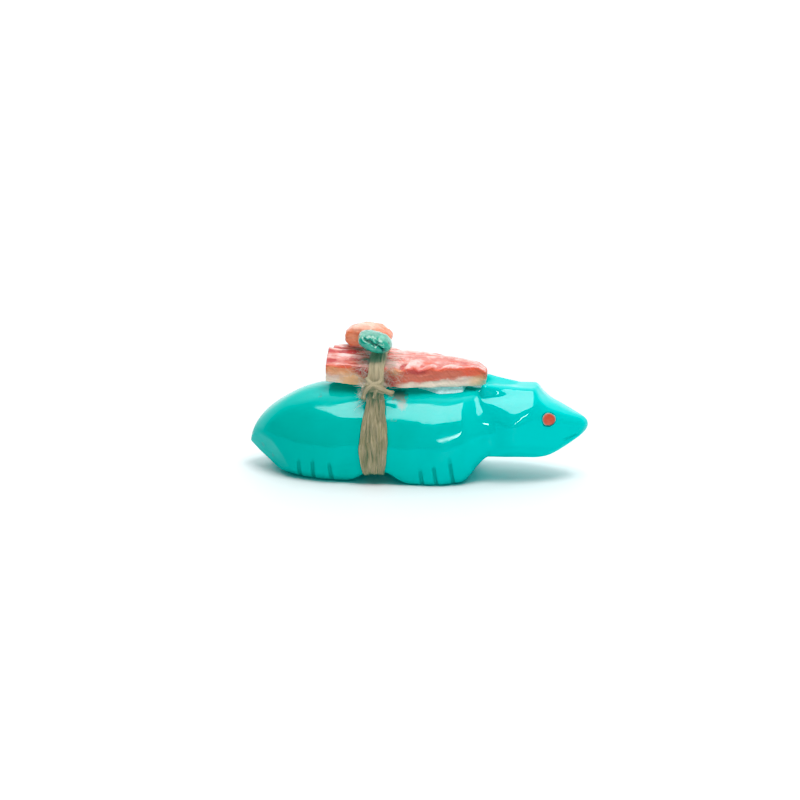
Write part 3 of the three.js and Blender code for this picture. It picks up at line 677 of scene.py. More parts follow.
@dataclass(frozen=True)
class CarvedBody:
    """The turquoise animal with its sawn grooves, mouth and eye sockets."""

    form: CarvedForm = CarvedForm()
    eye: EyeSeat = EyeSeat()
    claws: tuple[SawCut, ...] = (
        SawCut((-19.7, 4.3), (-19.5, 0.0)),
        SawCut((-17.2, 4.5), (-17.1, 0.0)),
        SawCut((-14.3, 4.1), (-13.9, 0.0)),
        SawCut((1.2, 3.3), (1.6, 0.0)),
        SawCut((3.5, 4.1), (4.0, 0.0)),
        SawCut((6.2, 5.3), (6.8, 0.0)),
    )
    mouth: SawCut = SawCut((24.8, 7.35), (27.7, 8.4), width=0.55, depth=0.17, run_out=0.9, end_share=0.0)
    deepest: float = 0.3
    sole_height: float = 0.12
    sole_share: float = 0.3
    socket_edge: float = 0.05
    sole_edge: float = 0.2
    hand_wobble: float = 0.03
    spine: tuple[Pair, Pair] = ((-22.0, 5.0), (23.0, 9.4))
    sides: int = 240
    cap_rows: int = 42
    pitches: tuple[Pair, ...] = (
        (-20.6, 0.26), (-12.9, 0.112), (0.4, 0.27), (7.9, 0.112), (21.4, 0.19), (99.0, 0.12)
    )

    def carved(self, points: Array) -> Array:
        """Field of the finished carving.

        Args:
            points: Places, with x, y and z in the last axis.

        Returns:
            Field value, negative inside.
        """
        plain = self.form.plain(points)
        x, _, z = np.moveaxis(points, -1, 0)
        out = plain + self.hand_wobble * self.wobble(points)
        for cut in (*self.claws, self.mouth):
            out = out + cut.sink(x, z)
        out = soft_max(out, -self.eye.inside(self.form, points), self.socket_edge)
        return soft_max(out, -z, self.sole_edge)

    @staticmethod
    def wobble(points: Array) -> Array:
        """Slow unevenness of a surface that was ground by hand."""
        return Ripple(7, 3, 7, 7.0)(*np.moveaxis(points, -1, 0))

    def places(self) -> Array:
        """Places along the spine at which the body is measured.

        Returns:
            The places, closer together at the grooves.
        """
        (x, _), (last, _) = self.spine
        out = []
        while x < last - 0.02:
            out.append(x)
            x += next(pitch for limit, pitch in self.pitches if x < limit)
        return np.array([*out, last])

    def rays(self) -> tuple[Array, Array]:
        """Rays that leave the spine square to it, and fan out at its ends.

        Returns:
            Start points and directions, by row and column.
        """
        (hind_x, hind_z), (front_x, front_z) = self.spine
        turn = full_turn(self.sides)
        xs = self.places()
        lean = np.linspace(0, math.pi / 2, self.cap_rows, endpoint=False)[1:]
        leans = np.concatenate([math.pi - lean, np.full(len(xs), math.pi / 2), lean[::-1]])
        along = np.concatenate([np.full(len(lean), hind_x), xs, np.full(len(lean), front_x)])
        up = hind_z + (front_z - hind_z) * (along - hind_x) / (front_x - hind_x)
        origins = np.stack([along, np.zeros_like(along), up], -1)
        across = np.sin(leans)[:, None]
        ways = np.stack(
            [np.cos(leans)[:, None] + 0 * turn, across * np.sin(turn), across * np.cos(turn)], -1
        )
        return np.broadcast_to(origins[:, None], ways.shape), ways

    def skin(self) -> Skin:
        """Points and faces of the whole carving.

        Returns:
            Points and faces.
        """
        origins, ways = self.rays()
        rows = self.form.hits(origins, ways, self.carved)
        ends = np.array([[x, 0.0, z] for x, z in self.spine])
        tips = self.form.hits(ends, np.array([[-1.0, 0, 0], [1.0, 0, 0]]), self.carved)
        return capped(rows, (tips[0], tips[1]))

    def build(self, finish: "Turquoise") -> None:
        """Makes the body in place of its plain solid.

        Args:
            finish: Polished stone.
        """
        points, faces = self.skin()
        # How deep each point sinks under the plain form; the finish paints shade in the grooves, the mouth
        # and the eye sockets by it, less on the soles.
        sunk = np.clip(-self.form.plain(points) / self.deepest, 0, 1)
        sunk[points[:, 2] < self.sole_height] *= self.sole_share
        piece = make_piece("carved_body", (points, faces), finish.material(), {"sunk": sunk})
        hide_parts("animal_body")


@dataclass(frozen=True)
class InlaidEye:
    """Domed inlay in a drilled socket, with the pale rim of its glue."""

    body: CarvedBody
    side: int
    dome: float = 0.16
    skirt: float = 0.36
    ring_sides: int = 56
    egg: Pair = (0.035, 0.02)
    dome_leans: Pair = (0.12, 0.97)
    dome_rows: int = 9
    dome_bulge: float = 0.8
    rim_thickness: float = 0.085
    rim_thinning: float = 0.72
    rim_unevenness: float = 0.18
    rim_flatness: float = 0.8
    rim_sunk: Pair = (0.03, 0.12)
    rim_sides: int = 8

    def frame(self) -> tuple[Array, Array, Array, Array]:
        """Middle of the eye, and the directions along, up and out of it.

        Returns:
            Middle, and directions along, up and out.
        """
        centre = self.body.eye.centre(self.body.form, self.side)
        out = self.body.eye.outward(self.body.form, self.side)
        along = unit(np.array([1.0, 0.0, 0.0]) - out * out[0])
        up = unit(np.cross(out, along))
        return centre, along, up * np.sign(up[2]), out

    def outline(self, turn: Array, radius: float) -> Array:
        """Distance of the slightly egg-shaped outline from the middle."""
        return radius * (1 + self.egg[0] * np.cos(2 * turn + 0.5) + self.egg[1] * np.cos(3 * turn))

    def build(self, finish: "Coral", rim_finish: "GlueRim") -> None:
        """Makes the inlay and the rim round it.

        Args:
            finish: Stone of the inlay.
            rim_finish: Dried glue.
        """
        centre, along, up, out = self.frame()
        turn = full_turn(self.ring_sides)
        ways = np.cos(turn)[:, None] * along + np.sin(turn)[:, None] * up
        radius = self.body.eye.radius

        def ring(share: float, height: float) -> Array:
            """One ring of the dome at a share of the radius."""
            return centre + self.outline(turn, radius * share)[:, None] * ways + height * out

        rows = [ring(0.96, -self.skirt), ring(1.0, -self.skirt * 0.6), ring(1.0, -0.04)]
        for lean in np.linspace(*self.dome_leans, self.dome_rows):
            lean = lean * math.pi / 2
            rows.append(ring(math.cos(lean) ** self.dome_bulge, self.dome * math.sin(lean)))
        word = "left" if self.side > 0 else "right"
        inlay = make_piece(f"eye_inlay_{word}", capped(np.array(rows)), finish.material())
        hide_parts(f"eye_{word}")
        rim = make_piece(f"eye_glue_rim_{word}", self.rim(turn, ways, centre, out), rim_finish.material())

    def rim(self, turn: Array, ways: Array, centre: Array, out: Array) -> Skin:
        """Bead of dried glue that thins out below the eye.

        Args:
            turn: Angles round the eye.
            ways: Direction from the middle at each angle.
            centre: Middle of the eye.
            out: Direction out of the cheek.

        Returns:
            Points and faces.
        """
        seat = self.body.eye
        middle = (seat.radius * 1.02 + seat.socket_radius) / 2
        low = smooth_step(0.35, 0.95, np.cos(turn + 1.15))
        uneven = 1 + self.rim_unevenness * Ripple(5, 1, 4, 1.1)(turn)
        thick = self.rim_thickness * (1 - self.rim_thinning * low) * uneven
        rows = []
        for bend in full_turn(self.rim_sides):
            reach = self.outline(turn, middle) + thick * math.cos(bend)
            height = thick * (self.rim_flatness * math.sin(bend)) - self.rim_sunk[0] - self.rim_sunk[1] * low
            rows.append(centre + reach[:, None] * ways + height[:, None] * out)
        rings = np.array(rows).transpose(1, 0, 2)
        return rings.reshape(-1, 3), ring_faces(len(turn), len(rows), closed_rows=True)


# The bundle


@dataclass(frozen=True)
class ShellSlab:
    """Slab of shell along the back: flat ground near face, ribbed and knuckled top."""

    tip_x: float
    bottom: float
    length: float = 27.0
    width: float = 8.4
    face_height: float = 3.4
    crown_height: float = 5.3
    tip_height: float = 2.8
    rib_count: float = 5
    rib_depth: float = 0.22
    rib_drift: float = 0.12
    crest: float = 0.72
    roll_off: float = 4.2
    far_bevel: float = 0.85
    knuckle_height: float = 0.3
    knuckle_pitch: float = 3.1
    knuckle_at: Pair = (0.42, 0.12)
    knuckle_spread: Pair = (0.2, 0.22)
    near: Profile = Profile((0, -0.12), (0.05, -0.19), (0.2, -0.32), (0.55, -0.51), (1, -0.43))
    far: Profile = Profile((0, 0.1), (0.05, 0.18), (0.22, 0.34), (0.5, 0.49), (1, 0.46))
    fade: Triple = (12.0, 8.0, 6.0)
    bulge_at: Pair = (0.86, 0.035)
    bulge_spread: Pair = (0.055, 0.03)
    bulge_height: float = 0.3
    striae_depth: float = 0.045
    lump_depth: float = 0.06
    fine_sunk: float = 0.05
    crumbles: Pair = (0.05, 0.035)
    top_edge: Triple = (0.93, 0.07, 0.3)
    low_edge: Pair = (0.05, 0.16)
    edge_drop: float = 0.12
    tail_lift: float = 0.45
    end_bulge: float = 0.3
    end_rows: int = 9
    rows: int = 210

    def share(self, x: Array) -> Array:
        """Share of the length at places along, from the tip."""
        return (self.tip_x - x) / self.length

    def edges(self, s: Array) -> tuple[Array, Array]:
        """Places of the near and the far edge."""
        return self.width * self.near(s), self.width * self.far(s)

    def crown(self, s: Array) -> Array:
        """Height of the top's highest line.

        Args:
            s: Share of the length, from the tip.

        Returns:
            Height at each place.
        """
        tip, face, high = self.tip_height, self.face_height, self.crown_height
        return Profile(
            (0, tip), (0.07, 0.6 * tip + 0.4 * face + 0.5), (0.3, 0.6 * face + 0.4 * high + 0.15), (1, high)
        )(s)

    def edge(self, s: Array) -> Array:
        """Height of the near face."""
        return Profile((0, 0.85 * self.tip_height), (0.06, self.face_height), (1, self.face_height))(s)

    def plan(self, s: Array, t: Array) -> tuple[Array, Array]:
        """Place in plan.

        Args:
            s: Share of the length, from the tip.
            t: Share of the width, from the near edge.

        Returns:
            Places along and across.
        """
        y = self.width * (self.near(s) + (self.far(s) - self.near(s)) * t)
        bevel = self.far_bevel * np.maximum(0, y - 0.04 * self.width) * s * s
        return self.tip_x - s * self.length + bevel, y

    def ribs(self, s: Array, t: Array) -> Array:
        """Wave of the lengthwise ribs, from -1 in a valley to 1 on a rib.

        Args:
            s: Share of the length, from the tip.
            t: Share of the width, from the near edge.

        Returns:
            Wave at each place.
        """
        bend = 0.9 * Ripple(21, 2, 5, 0.55)(s, t * 1.1)
        uneven = (0.75 + 0.35 * Ripple(22, 2, 5, 0.5)(s, t * 1.5)) * (0.4 + 0.6 * smooth_step(0.5, 0.72, s))
        return uneven * np.cos(2 * math.pi * self.rib_count * (t + self.rib_drift * s) + bend * 2)

    def knuckles(self, s: Array, t: Array) -> tuple[Array, Array]:
        """Wave of the knuckles along the near edge.

        Args:
            s: Share of the length, from the tip.
            t: Share of the width, from the near edge.

        Returns:
            The wave, and how strong it is at each place.
        """
        reach = bump(s, t, self.knuckle_at, self.knuckle_spread)
        phase = 2 * math.pi * (s * self.length / self.knuckle_pitch + 0.9 * t)
        return np.cos(phase + 0.5 * np.cos(phase)), reach

    def thickness(self, s: Array, t: Array, fine: bool = True) -> Array:
        """Thickness of the slab.

        Args:
            s: Share of the length, from the tip.
            t: Share of the width, from the near edge.
            fine: True to add the finest relief.

        Returns:
            Thickness at each place.
        """
        edge = self.edge(s)
        crown = np.maximum(self.crown(s), edge)
        past = t - self.crest
        rise = np.where(past < 0, np.sin(math.pi / 2 * t / self.crest), np.cos(past * self.roll_off))
        near_fade, far_fade, tip_fade = self.fade
        tip_share = np.minimum(1, tip_fade * s)
        fade = np.minimum(1, np.minimum(near_fade * t, far_fade * (1 - t))) * tip_share
        wave, reach = self.knuckles(s, t)
        out = edge + (crown - edge) * rise + fade * self.rib_depth * self.ribs(s, t)
        out = out + reach * self.knuckle_height * wave
        if fine:
            out = out + self.bulge_height * bump(s, t, self.bulge_at, self.bulge_spread)
            striae = Ripple(31, 2, 9, 0.11)(s * 0.35, t)
            lumps = Ripple(32, 2, 7, 0.3)(s * 1.6, t)
            out = out + fade * (self.striae_depth * striae + self.lump_depth * lumps)
            out = out - self.fine_sunk * tip_share
        return out

    def top_height(self, x: Array, y: Array) -> Array:
        """Height of the top over places in plan.

        Args:
            x: Points, along.
            y: Points, across.

        Returns:
            Height at each place.
        """
        s = np.clip(self.share(x), 0, 1)
        near, far = self.edges(s)
        return self.bottom + self.thickness(s, np.clip((y - near) / (far - near), 0, 1), False)

    def station(self, s: Array) -> Array:
        """Rounded outline of each section, as points in x, y and z.

        Args:
            s: Places along the slab.

        Returns:
            Points by row and column.
        """
        rise = np.sin(np.linspace(0, math.pi / 2, 30)) ** 1.2
        sweep = np.linspace(0, 1, 96)[1:-1]
        t = np.concatenate([0 * rise, sweep, 1 + 0 * rise[::3], np.linspace(1, 0, 14)[1:-1]])
        h = np.concatenate([rise, 1 + 0 * sweep, rise[::-3], np.zeros(12)])
        s2, t2, h2 = s[:, None], t[None], h[None]
        x, y = self.plan(s2, t2)
        face = (t2 <= 0) | (t2 >= 1)
        thick = self.thickness(s2, t2)
        away = np.where(t2 <= 0, 1, -1) * face
        crumble = self.crumbles[0] * Ripple(41, 2, 8, 1.6)(x, h2 * 4)
        crumble = crumble + self.crumbles[1] * Ripple(42, 2, 6, 0.5)(x, h2 * 4)
        start, span, depth = self.top_edge
        top, (foot, foot_depth) = quarter_round((h2 - start) / span, depth), self.low_edge
        y = y + away * (top + quarter_round((foot - h2) / foot, foot_depth) + crumble)
        edge_drop = self.edge_drop * np.exp(-((t2 * 26) ** 2)) * (h2 >= 1)
        lift = self.tail_lift * np.clip((s2 - 0.72) / 0.28, 0, 1) ** 1.5 * np.clip(1 - t2 * 2, 0, 1)
        low = lift + 0.03 * (1 + Ripple(43, 1, 5, 4.5)(x)) * (t2 <= 0)
        z = self.bottom + low + (thick - low - edge_drop) * h2
        return np.stack(np.broadcast_arrays(x + 0 * z, y + 0 * z, z), -1)

    def skin(self) -> tuple[Array, Faces, Array]:
        """Points, faces and places along the slab of each point.

        Returns:
            Points, faces, and the share of the length at each point.
        """
        s = np.linspace(0.004, 1, self.rows) ** 1.1
        rows = self.station(s)
        closes = []
        for end, way in ((0, 1), (-1, -1)):
            ring, middle = rows[end], rows[end].mean(0)
            stack = []
            for k in np.linspace(0.1, 0.95, self.end_rows):
                g = 1 - (1 - k) ** 2
                bulge = np.array([way * self.end_bulge * (1 - (1 - g) ** 2), 0, 0])
                stack.append(ring + (middle - ring) * g + bulge)
            closes.append(np.array(stack[::-1] if end == 0 else stack))
        grid = np.concatenate([closes[0], rows, closes[1]])
        along = np.concatenate([np.full(self.end_rows, s[0]), s, np.full(self.end_rows, s[-1])])
        points, faces = capped(grid)
        marks = np.concatenate([np.repeat(along, grid.shape[1]), [s[0], s[-1]]])
        return points, faces, marks

    def build(self, finish: "Shell") -> None:
        """Makes the slab in place of its plain solid.

        Args:
            finish: Banded shell.
        """
        points, faces, s = self.skin()
        _, y, z = points.T
        near, far = self.edges(s)
        t = np.clip((y - near) / (far - near), 0, 1)
        thick = self.thickness(s, t, False)
        up = np.clip((z - self.bottom) / thick, 0, 1)
        wave, reach = self.knuckles(s, t)
        # The valley mark is low on rib crests and high in the troughs of the ribs and knuckles; the finish
        # paints the troughs the shell's red, deepened as painted shade.
        valley = 0.5 - 0.5 * self.ribs(s, t)
        reach = np.clip(1.3 * reach, 0, 1) * (0.75 + 0.35 * Ripple(23, 2, 5, 0.3)(s, t))
        valley = np.maximum(valley * (1 - reach), reach * smooth_step(-0.1, -0.9, wave))
        marks = {"along": s, "across": t, "up": up, "valley": valley}
        piece = make_piece("shell_slab_ribbed", (points, faces), finish.material(), marks)
        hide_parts("shell_slab")


@dataclass(frozen=True)
class Pebble:
    """Tumbled piece whose surface is pulled toward soft facets."""

    node: str
    name: str
    size: Triple
    facets: tuple[tuple[Triple, float], ...]
    crispness: float
    tilt: float
    lump: float
    pit: float
    seed: int
    sink: float = 0.12
    deepest: float = 0.3

    def skin(self) -> Skin:
        """Points and faces, set where the plain solid lies.

        Returns:
            Points and faces.
        """
        work = bmesh.new()
        bmesh.ops.create_icosphere(work, subdivisions=6, radius=1.0)
        ways = unit(np.array([v.co for v in work.verts]))
        faces = [tuple(v.index for v in f.verts) for f in work.faces]
        work.free()
        normals = unit(np.array([f[0] for f in self.facets], float))
        shares = np.array([f[1] for f in self.facets])
        pull = (np.maximum(0, ways @ normals.T) / shares) ** self.crispness
        points = ways * (pull.sum(1) ** (-1 / self.crispness))[:, None]
        points -= (points.max(0) + points.min(0)) / 2
        points *= np.array(self.size) / np.ptp(points, axis=0)
        points += ways * self.relief(points)[:, None]
        turn = math.radians(self.tilt)
        x, y, z = points.T
        cos, sin = math.cos(turn), math.sin(turn)
        points = np.stack([x * cos + z * sin, y, z * cos - x * sin], -1)
        low, high = (np.array(corner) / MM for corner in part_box(self.node))
        points += (low + high) / 2 - (points.max(0) + points.min(0)) / 2
        return points, faces

    def relief(self, points: Array) -> Array:
        """Height of lumps and pits over the smooth pebble.

        Args:
            points: Points of the smooth pebble.

        Returns:
            Height at each point.
        """
        lumps = Ripple(self.seed, 3, 9, 2.1)(*points.T)
        small = Ripple(self.seed + 1, 3, 9, 0.8)(*points.T)
        pits = np.array([lattice.noise(Vector(p * 1.5 + self.seed)) for p in points])
        return self.lump * (lumps + 0.4 * small) - self.pit * smooth_step(0.12, 0.5, pits)

    def build(
        self, finish: "Finish", slot: str, carved: Callable[[Array], Array] | None = None
    ) -> None:
        """Makes the pebble in place of its plain solid.

        Args:
            finish: Stone of the pebble.
            slot: Not used.
            carved: Change of the points, or None.
        """
        points, faces = self.skin()
        marks = {}
        if carved is not None:
            before, points = points, carved(points)
            marks["sunk"] = np.clip(np.linalg.norm(points - before, axis=1) / self.deepest, 0, 1)
        points = points - np.array([0.0, 0.0, self.sink])
        piece = make_piece(self.name, (points, faces), finish.material(), marks)
        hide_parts(self.node)


@dataclass(frozen=True)
class TautOutline:
    """Taut outline round the body and the slab, at planes across the tie."""

    form: CarvedForm
    slab: ShellSlab
    x: float
    half: float = 2.7
    planes: int = 9
    centre: float = 8.0
    turns: int = 361
    looks: int = 240
    glancing: float = 0.05
    nudge: float = 0.012

    def table(self) -> tuple[Array, Array]:
        """Distance of the outline from its centre line, by plane and angle.

        Returns:
            Places of the planes, and the distances.
        """
        xs = np.linspace(self.x - self.half, self.x + self.half, self.planes)
        look = full_turn(self.looks)
        turn = np.linspace(0, 2 * math.pi, self.turns)
        normals = np.stack([np.sin(look), np.cos(look)], -1)
        ways = np.stack([0 * look, np.sin(look), np.cos(look)], -1)
        face = np.cos(turn[:, None] - look[None])
        reach = []
        for x in xs:
            start = np.broadcast_to([x, 0.0, self.form.inner_height], ways.shape)
            body = self.form.hits(start, ways)[:, 1:]
            body[:, 1] = np.maximum(body[:, 1], 0)
            lid = self.slab.station(np.array([self.slab.share(x)]))[0][:, 1:]
            section = np.concatenate([body, lid]) - np.array([0, self.centre])
            support = (section @ normals.T).max(0)
            least = self.glancing
            reach.append(np.where(face > least, support / np.maximum(face, least), 1e9).min(1))
        return xs, np.array(reach)

    def follower(self) -> Callable[[Array, Array, Array], tuple[Array, Array]]:
        """Makes a function that lays points on the outline.

        Returns:
            Function of angle, place and lift that gives points and outward directions.
        """
        xs, reach = self.table()

        def distance(angle: Array, x: Array) -> Array:
            """Distance of the outline at an angle and a place.

            Args:
                angle: Angles round the outline.
                x: Points, along.

            Returns:
                Distance at each place.
            """
            wrapped = np.mod(angle, 2 * math.pi) / (2 * math.pi) * (self.turns - 1)
            i = np.clip(wrapped.astype(int), 0, self.turns - 2)
            part = np.clip((x - xs[0]) / (xs[1] - xs[0]), 0, self.planes - 1.001)
            k = part.astype(int)
            a, b = wrapped - i, part - k
            low = reach[k, i] * (1 - a) + reach[k, i + 1] * a
            high = reach[k + 1, i] * (1 - a) + reach[k + 1, i + 1] * a
            return low * (1 - b) + high * b

        def on_outline(angle: Array, x: Array, lift: Array) -> tuple[Array, Array]:
            """Points over the outline and the way they face.

            Args:
                angle: Angles round the outline.
                x: Points, along.
                lift: Clearance.

            Returns:
                Points and outward directions.
            """
            angle, x, lift = np.broadcast_arrays(angle, x, lift)

            def place(a: Array) -> Array:
                """Point of the outline at an angle."""
                r = distance(a, x)
                return np.stack([x, r * np.sin(a), self.centre + r * np.cos(a)], -1)

            along = place(angle + self.nudge) - place(angle - self.nudge)
            out = unit(np.stack([0 * x, -along[..., 2], along[..., 1]], -1))
            out *= np.sign((out * (place(angle) - np.array([0, 0, self.centre]))).sum(-1, keepdims=True))
            return place(angle) + out * lift[..., None], out

        return on_outline


def flat_tube(path: Array, across: Array, out: Array, wide: Array, thick: Array, sides: int) -> Array:
    """Rings of an oval tube along a path.

    Args:
        path: Points of the middle line.
        across: Directions of the wide way.
        out: Directions of the thin way.
        wide: Half widths along the path.
        thick: Half thicknesses along the path.
        sides: Points in a ring.

    Returns:
        Points by ring and side.
    """
    turn = full_turn(sides)
    a = np.sign(np.cos(turn)) * np.abs(np.cos(turn)) ** 0.8
    b = np.sin(turn)
    return (
        path[:, None]
        + (wide[:, None] * a)[..., None] * across[:, None]
        + (thick[:, None] * b)[..., None] * out[:, None]
    )


def curve_through(stops: Array, count: int) -> Array:
    """Smooth curve through a few points.

    Args:
        stops: The points.
        count: Number of points wanted.

    Returns:
        Points of the curve.
    """
    padded = np.concatenate([2 * stops[:1] - stops[1:2], stops, 2 * stops[-1:] - stops[-2:-1]])
    t = np.linspace(0, len(stops) - 1, count)
    i = np.minimum(t.astype(int), len(stops) - 2)
    f = (t - i)[:, None]
    p0, p1, p2, p3 = (padded[i + k] for k in range(4))
    return 0.5 * (
        2 * p1 + (p2 - p0) * f + (2 * p0 - 5 * p1 + 4 * p2 - p3) * f**2 + (3 * p1 - p0 - 3 * p2 + p3) * f**3
    )


def path_frame(path: Array, out: Array) -> tuple[Array, Array]:
    """Across and outward directions along a path.

    Args:
        path: Points of the path.
        out: Rough outward direction.

    Returns:
        Directions across and out, square to the path.
    """
    along = unit(np.gradient(path, axis=0))
    across = unit(np.cross(along, out))
    return across, unit(np.cross(across, along))


FIBRE_MARKS = ("fibre_across", "fibre_along", "fibre_number")


@dataclass(frozen=True)
class Loop:
    """One turn or cut end of the knot, in millimetres along, up and out from its middle."""

    stops: tuple[Triple, ...]
    wide: float
    thick: float
    cut: bool = False


@dataclass(frozen=True)
class SinewTie:
    """Waxed sinew that goes once round the bundle, with its knot, cut ends and loose fibres."""

    form: CarvedForm
    slab: ShellSlab
    x: float = -6.7
    flank_half: float = 2.28
    top_half: float = 1.42
    strands: int = 9
    steps: int = 300
    knot_height: float = 16.2
    knot_shift: float = -0.3
    knot_fibres: int = 5
    knot_rows: int = 46
    knot_sides: int = 10
    band_sides: int = 14
    crossing_steps: int = 18
    shell_hairs: int = 120
    knot_hairs: int = 150
    tailward_share: float = 0.8
    hair_rows: int = 15
    hair_sides: int = 5
    loops: tuple[Loop, ...] = (
        Loop(
            ((-1.75, 0.05, -0.2), (-1.25, 0.3, 0.5), (0.0, 0.38, 0.8), (1.2, 0.1, 0.55), (1.7, -0.2, -0.2)),
            wide=0.42, thick=0.3,
        ),
        Loop(
            ((-1.7, -0.65, -0.2), (-1.1, -0.4, 0.45), (0.1, -0.25, 0.72), (1.15, -0.55, 0.5),
             (1.65, -0.75, -0.2)),
            wide=0.38, thick=0.28,
        ),
        Loop(
            ((-1.1, 0.65, 0.3), (0.0, 0.35, 1.05), (1.2, -0.1, 1.0), (2.4, -0.6, 0.95), (3.55, -0.95, 0.9)),
            wide=0.36, thick=0.3, cut=True,
        ),
        Loop(
            ((0.8, 0.8, 0.3), (-0.1, 0.4, 1.15), (-1.05, -0.45, 1.1), (-1.5, -1.3, 0.9), (-1.65, -2.1, 0.8)),
            wide=0.33, thick=0.26, cut=True,
        ),
        Loop(
            ((1.0, 0.0, 0.5), (0.6, -0.45, 1.0), (0.35, -1.1, 0.85), (0.2, -1.75, 0.6)),
            wide=0.3, thick=0.22, cut=True,
        ),
        Loop(
            ((-1.3, 1.7, 0.2), (-0.7, 0.95, 0.6), (0.2, 0.7, 0.85), (1.0, 0.95, 0.6), (1.35, 1.7, 0.2)),
            wide=0.33, thick=0.24,
        ),
    )

    @cached_property
    def follow(self) -> Callable[[Array, Array, Array], tuple[Array, Array]]:
        """Lays points on the taut outline, by angle, place and lift."""
        return TautOutline(self.form, self.slab, self.x).follower()

    def half_width(self, z: Array, near: Array) -> Array:
        """Half width of the band by height, gathered under the knot.

        Args:
            z: Heights of the band's middle.
            near: 1 on the near side, 0 on the far side.

        Returns:
            Half width at each place.
        """
        spread = smooth_step(16.2, 9.5, z)
        gathered = np.exp(-(((z - self.knot_height + 0.6) / 1.3) ** 2)) * near
        narrowed = 0.6 * smooth_step(4.5, 0.5, z) * near
        return self.top_half + (self.flank_half - self.top_half) * spread - 0.12 * gathered - narrowed

    def band(self) -> tuple[Array, Faces, dict[str, Array]]:
        """Flat strands side by side.

        Returns:
            Points, faces, and marks for the finish.
        """
        turn, sides = full_turn(self.steps), self.band_sides
        middle, _ = self.follow(turn, self.x, 0.0)
        near = (middle[:, 1] < 0).astype(float)
        half = self.half_width(middle[:, 2], near)
        length = np.concatenate([[0], np.cumsum(np.linalg.norm(np.diff(middle, axis=0), axis=1))])
        parts, marks = [], {key: [] for key in FIBRE_MARKS}
        draw = np.random.default_rng(11)
        for layer, count in ((0, self.strands), (1, self.strands - 2)):
            for i in range(count):
                lean = -1 + 2 * (i + 0.5) / count
                drift = 0.05 * Ripple(60 + 20 * layer + i, 1, 4, 9.0)(length * 2 * math.pi / 6.3)
                place = self.x + half * np.clip(lean * 0.9 + drift, -0.98, 0.98)
                wide = half / count * (1.45 + 0.18 * Ripple(90 + i, 1, 4, 7.0)(length))
                wide *= draw.uniform(0.75, 1.2)
                thick = np.full(self.steps, draw.uniform(0.12, 0.17))
                lift = 0.13 + 0.15 * layer + draw.uniform(-0.03, 0.04)
                lift = lift + 0.03 * Ripple(120 + i, 1, 4, 5.0)(length)
                blend = np.clip(np.arange(self.steps) / self.crossing_steps, 0, 1)
                place = place * blend + place[0] * (1 - blend) if i % 2 else place
                path, out = self.follow(turn, place, lift)
                tilt = 0.28 * Ripple(150 + i + 30 * layer, 1, 4, 8.0)(length)[:, None]
                across = unit(np.array([1.0, 0, 0]) + tilt * out)
                rings = flat_tube(path, across, unit(out - tilt * np.array([1.0, 0, 0])), wide, thick, sides)
                parts.append((rings.reshape(-1, 3), ring_faces(self.steps, sides, closed_rows=True)))
                marks["fibre_across"].append(np.tile(np.cos(full_turn(sides)), self.steps))
                marks["fibre_along"].append(np.repeat(length, sides))
                marks["fibre_number"].append(np.full(self.steps * sides, i + 10.0 * layer))
        return *joined(parts), {key: np.concatenate(values) for key, values in marks.items()}

    def knot_frame(self) -> tuple[Array, Array, Array]:
        """Middle of the knot on the near side, and the directions up and out.

        Returns:
            Point, direction up the flank and direction out.
        """
        turn = np.linspace(math.pi, 2 * math.pi, 400)
        place, out = self.follow(turn, self.x + self.knot_shift, 0.25)
        i = int(np.argmin(np.abs(place[:, 2] - self.knot_height)))
        along = np.array([1.0, 0, 0])
        up = unit(np.cross(out[i], along))
        return place[i], up * np.sign(up[2]), out[i]

    def knot(self) -> tuple[Array, Faces, dict[str, Array]]:
        """Turns of the knot and its cut ends.

        Returns:
            Points, faces, and marks for the finish.
        """
        middle, up, out = self.knot_frame()
        basis = np.stack([np.array([1.0, 0, 0]), up, out])
        parts, marks = [], {key: [] for key in FIBRE_MARKS}
        for number, loop in enumerate(self.loops):
            stops = middle + np.array(loop.stops) @ basis
            for k in range(self.knot_fibres):
                spin = 2 * math.pi * k / self.knot_fibres
                path = curve_through(stops, self.knot_rows)
                across, rise = path_frame(path, out)
                run = np.linspace(0, 1, len(path))
                twist = spin + 2.2 * run + 0.4 * number
                spread = np.ones_like(run) * 0.52
                if loop.cut:
                    spread = spread + 0.5 * smooth_step(0.75, 1.0, run)
                shift = (np.cos(twist) * loop.wide * spread)[:, None] * across
                shift = shift + (np.sin(twist) * loop.thick * spread)[:, None] * rise
                size = 0.62 * (1 + 0.1 * np.sin(9 * run + k))
                taper = np.where(run > 0.97, 0.6, 1.0) if loop.cut else 1.0
                wide, thick, count = loop.wide * size * taper, loop.thick * size * taper, self.knot_sides
                points, faces = capped(flat_tube(path + shift, across, rise, wide, thick, count))
                parts.append((points, faces))
                ring = np.tile(np.cos(full_turn(count)), len(path))
                marks["fibre_across"].append(np.append(ring, [0, 0]))
                marks["fibre_along"].append(np.append(np.repeat(run * 5, count), [0, 5]))
                marks["fibre_number"].append(np.full(len(points), 30.0 + 5 * number + k))
        return *joined(parts), {key: np.concatenate(values) for key, values in marks.items()}

    def hairs(self) -> Skin:
        """Loose fibres over the shell and round the knot.

        Returns:
            Points and faces.
        """
        draw = np.random.default_rng(29)
        middle, up, out = self.knot_frame()
        parts = []

        def add(path: Array, radius: float) -> None:
            """Adds one thin tapered fibre.

            Args:
                path: Points of the fibre.
                radius: Its radius at the thick end.
            """
            across, rise = path_frame(path, np.array([0.05, -0.8, 0.6]))
            size = radius * (1 - 0.7 * np.linspace(0, 1, len(path)) ** 2)
            parts.append(capped(flat_tube(path, across, rise, size, size, self.hair_sides)))

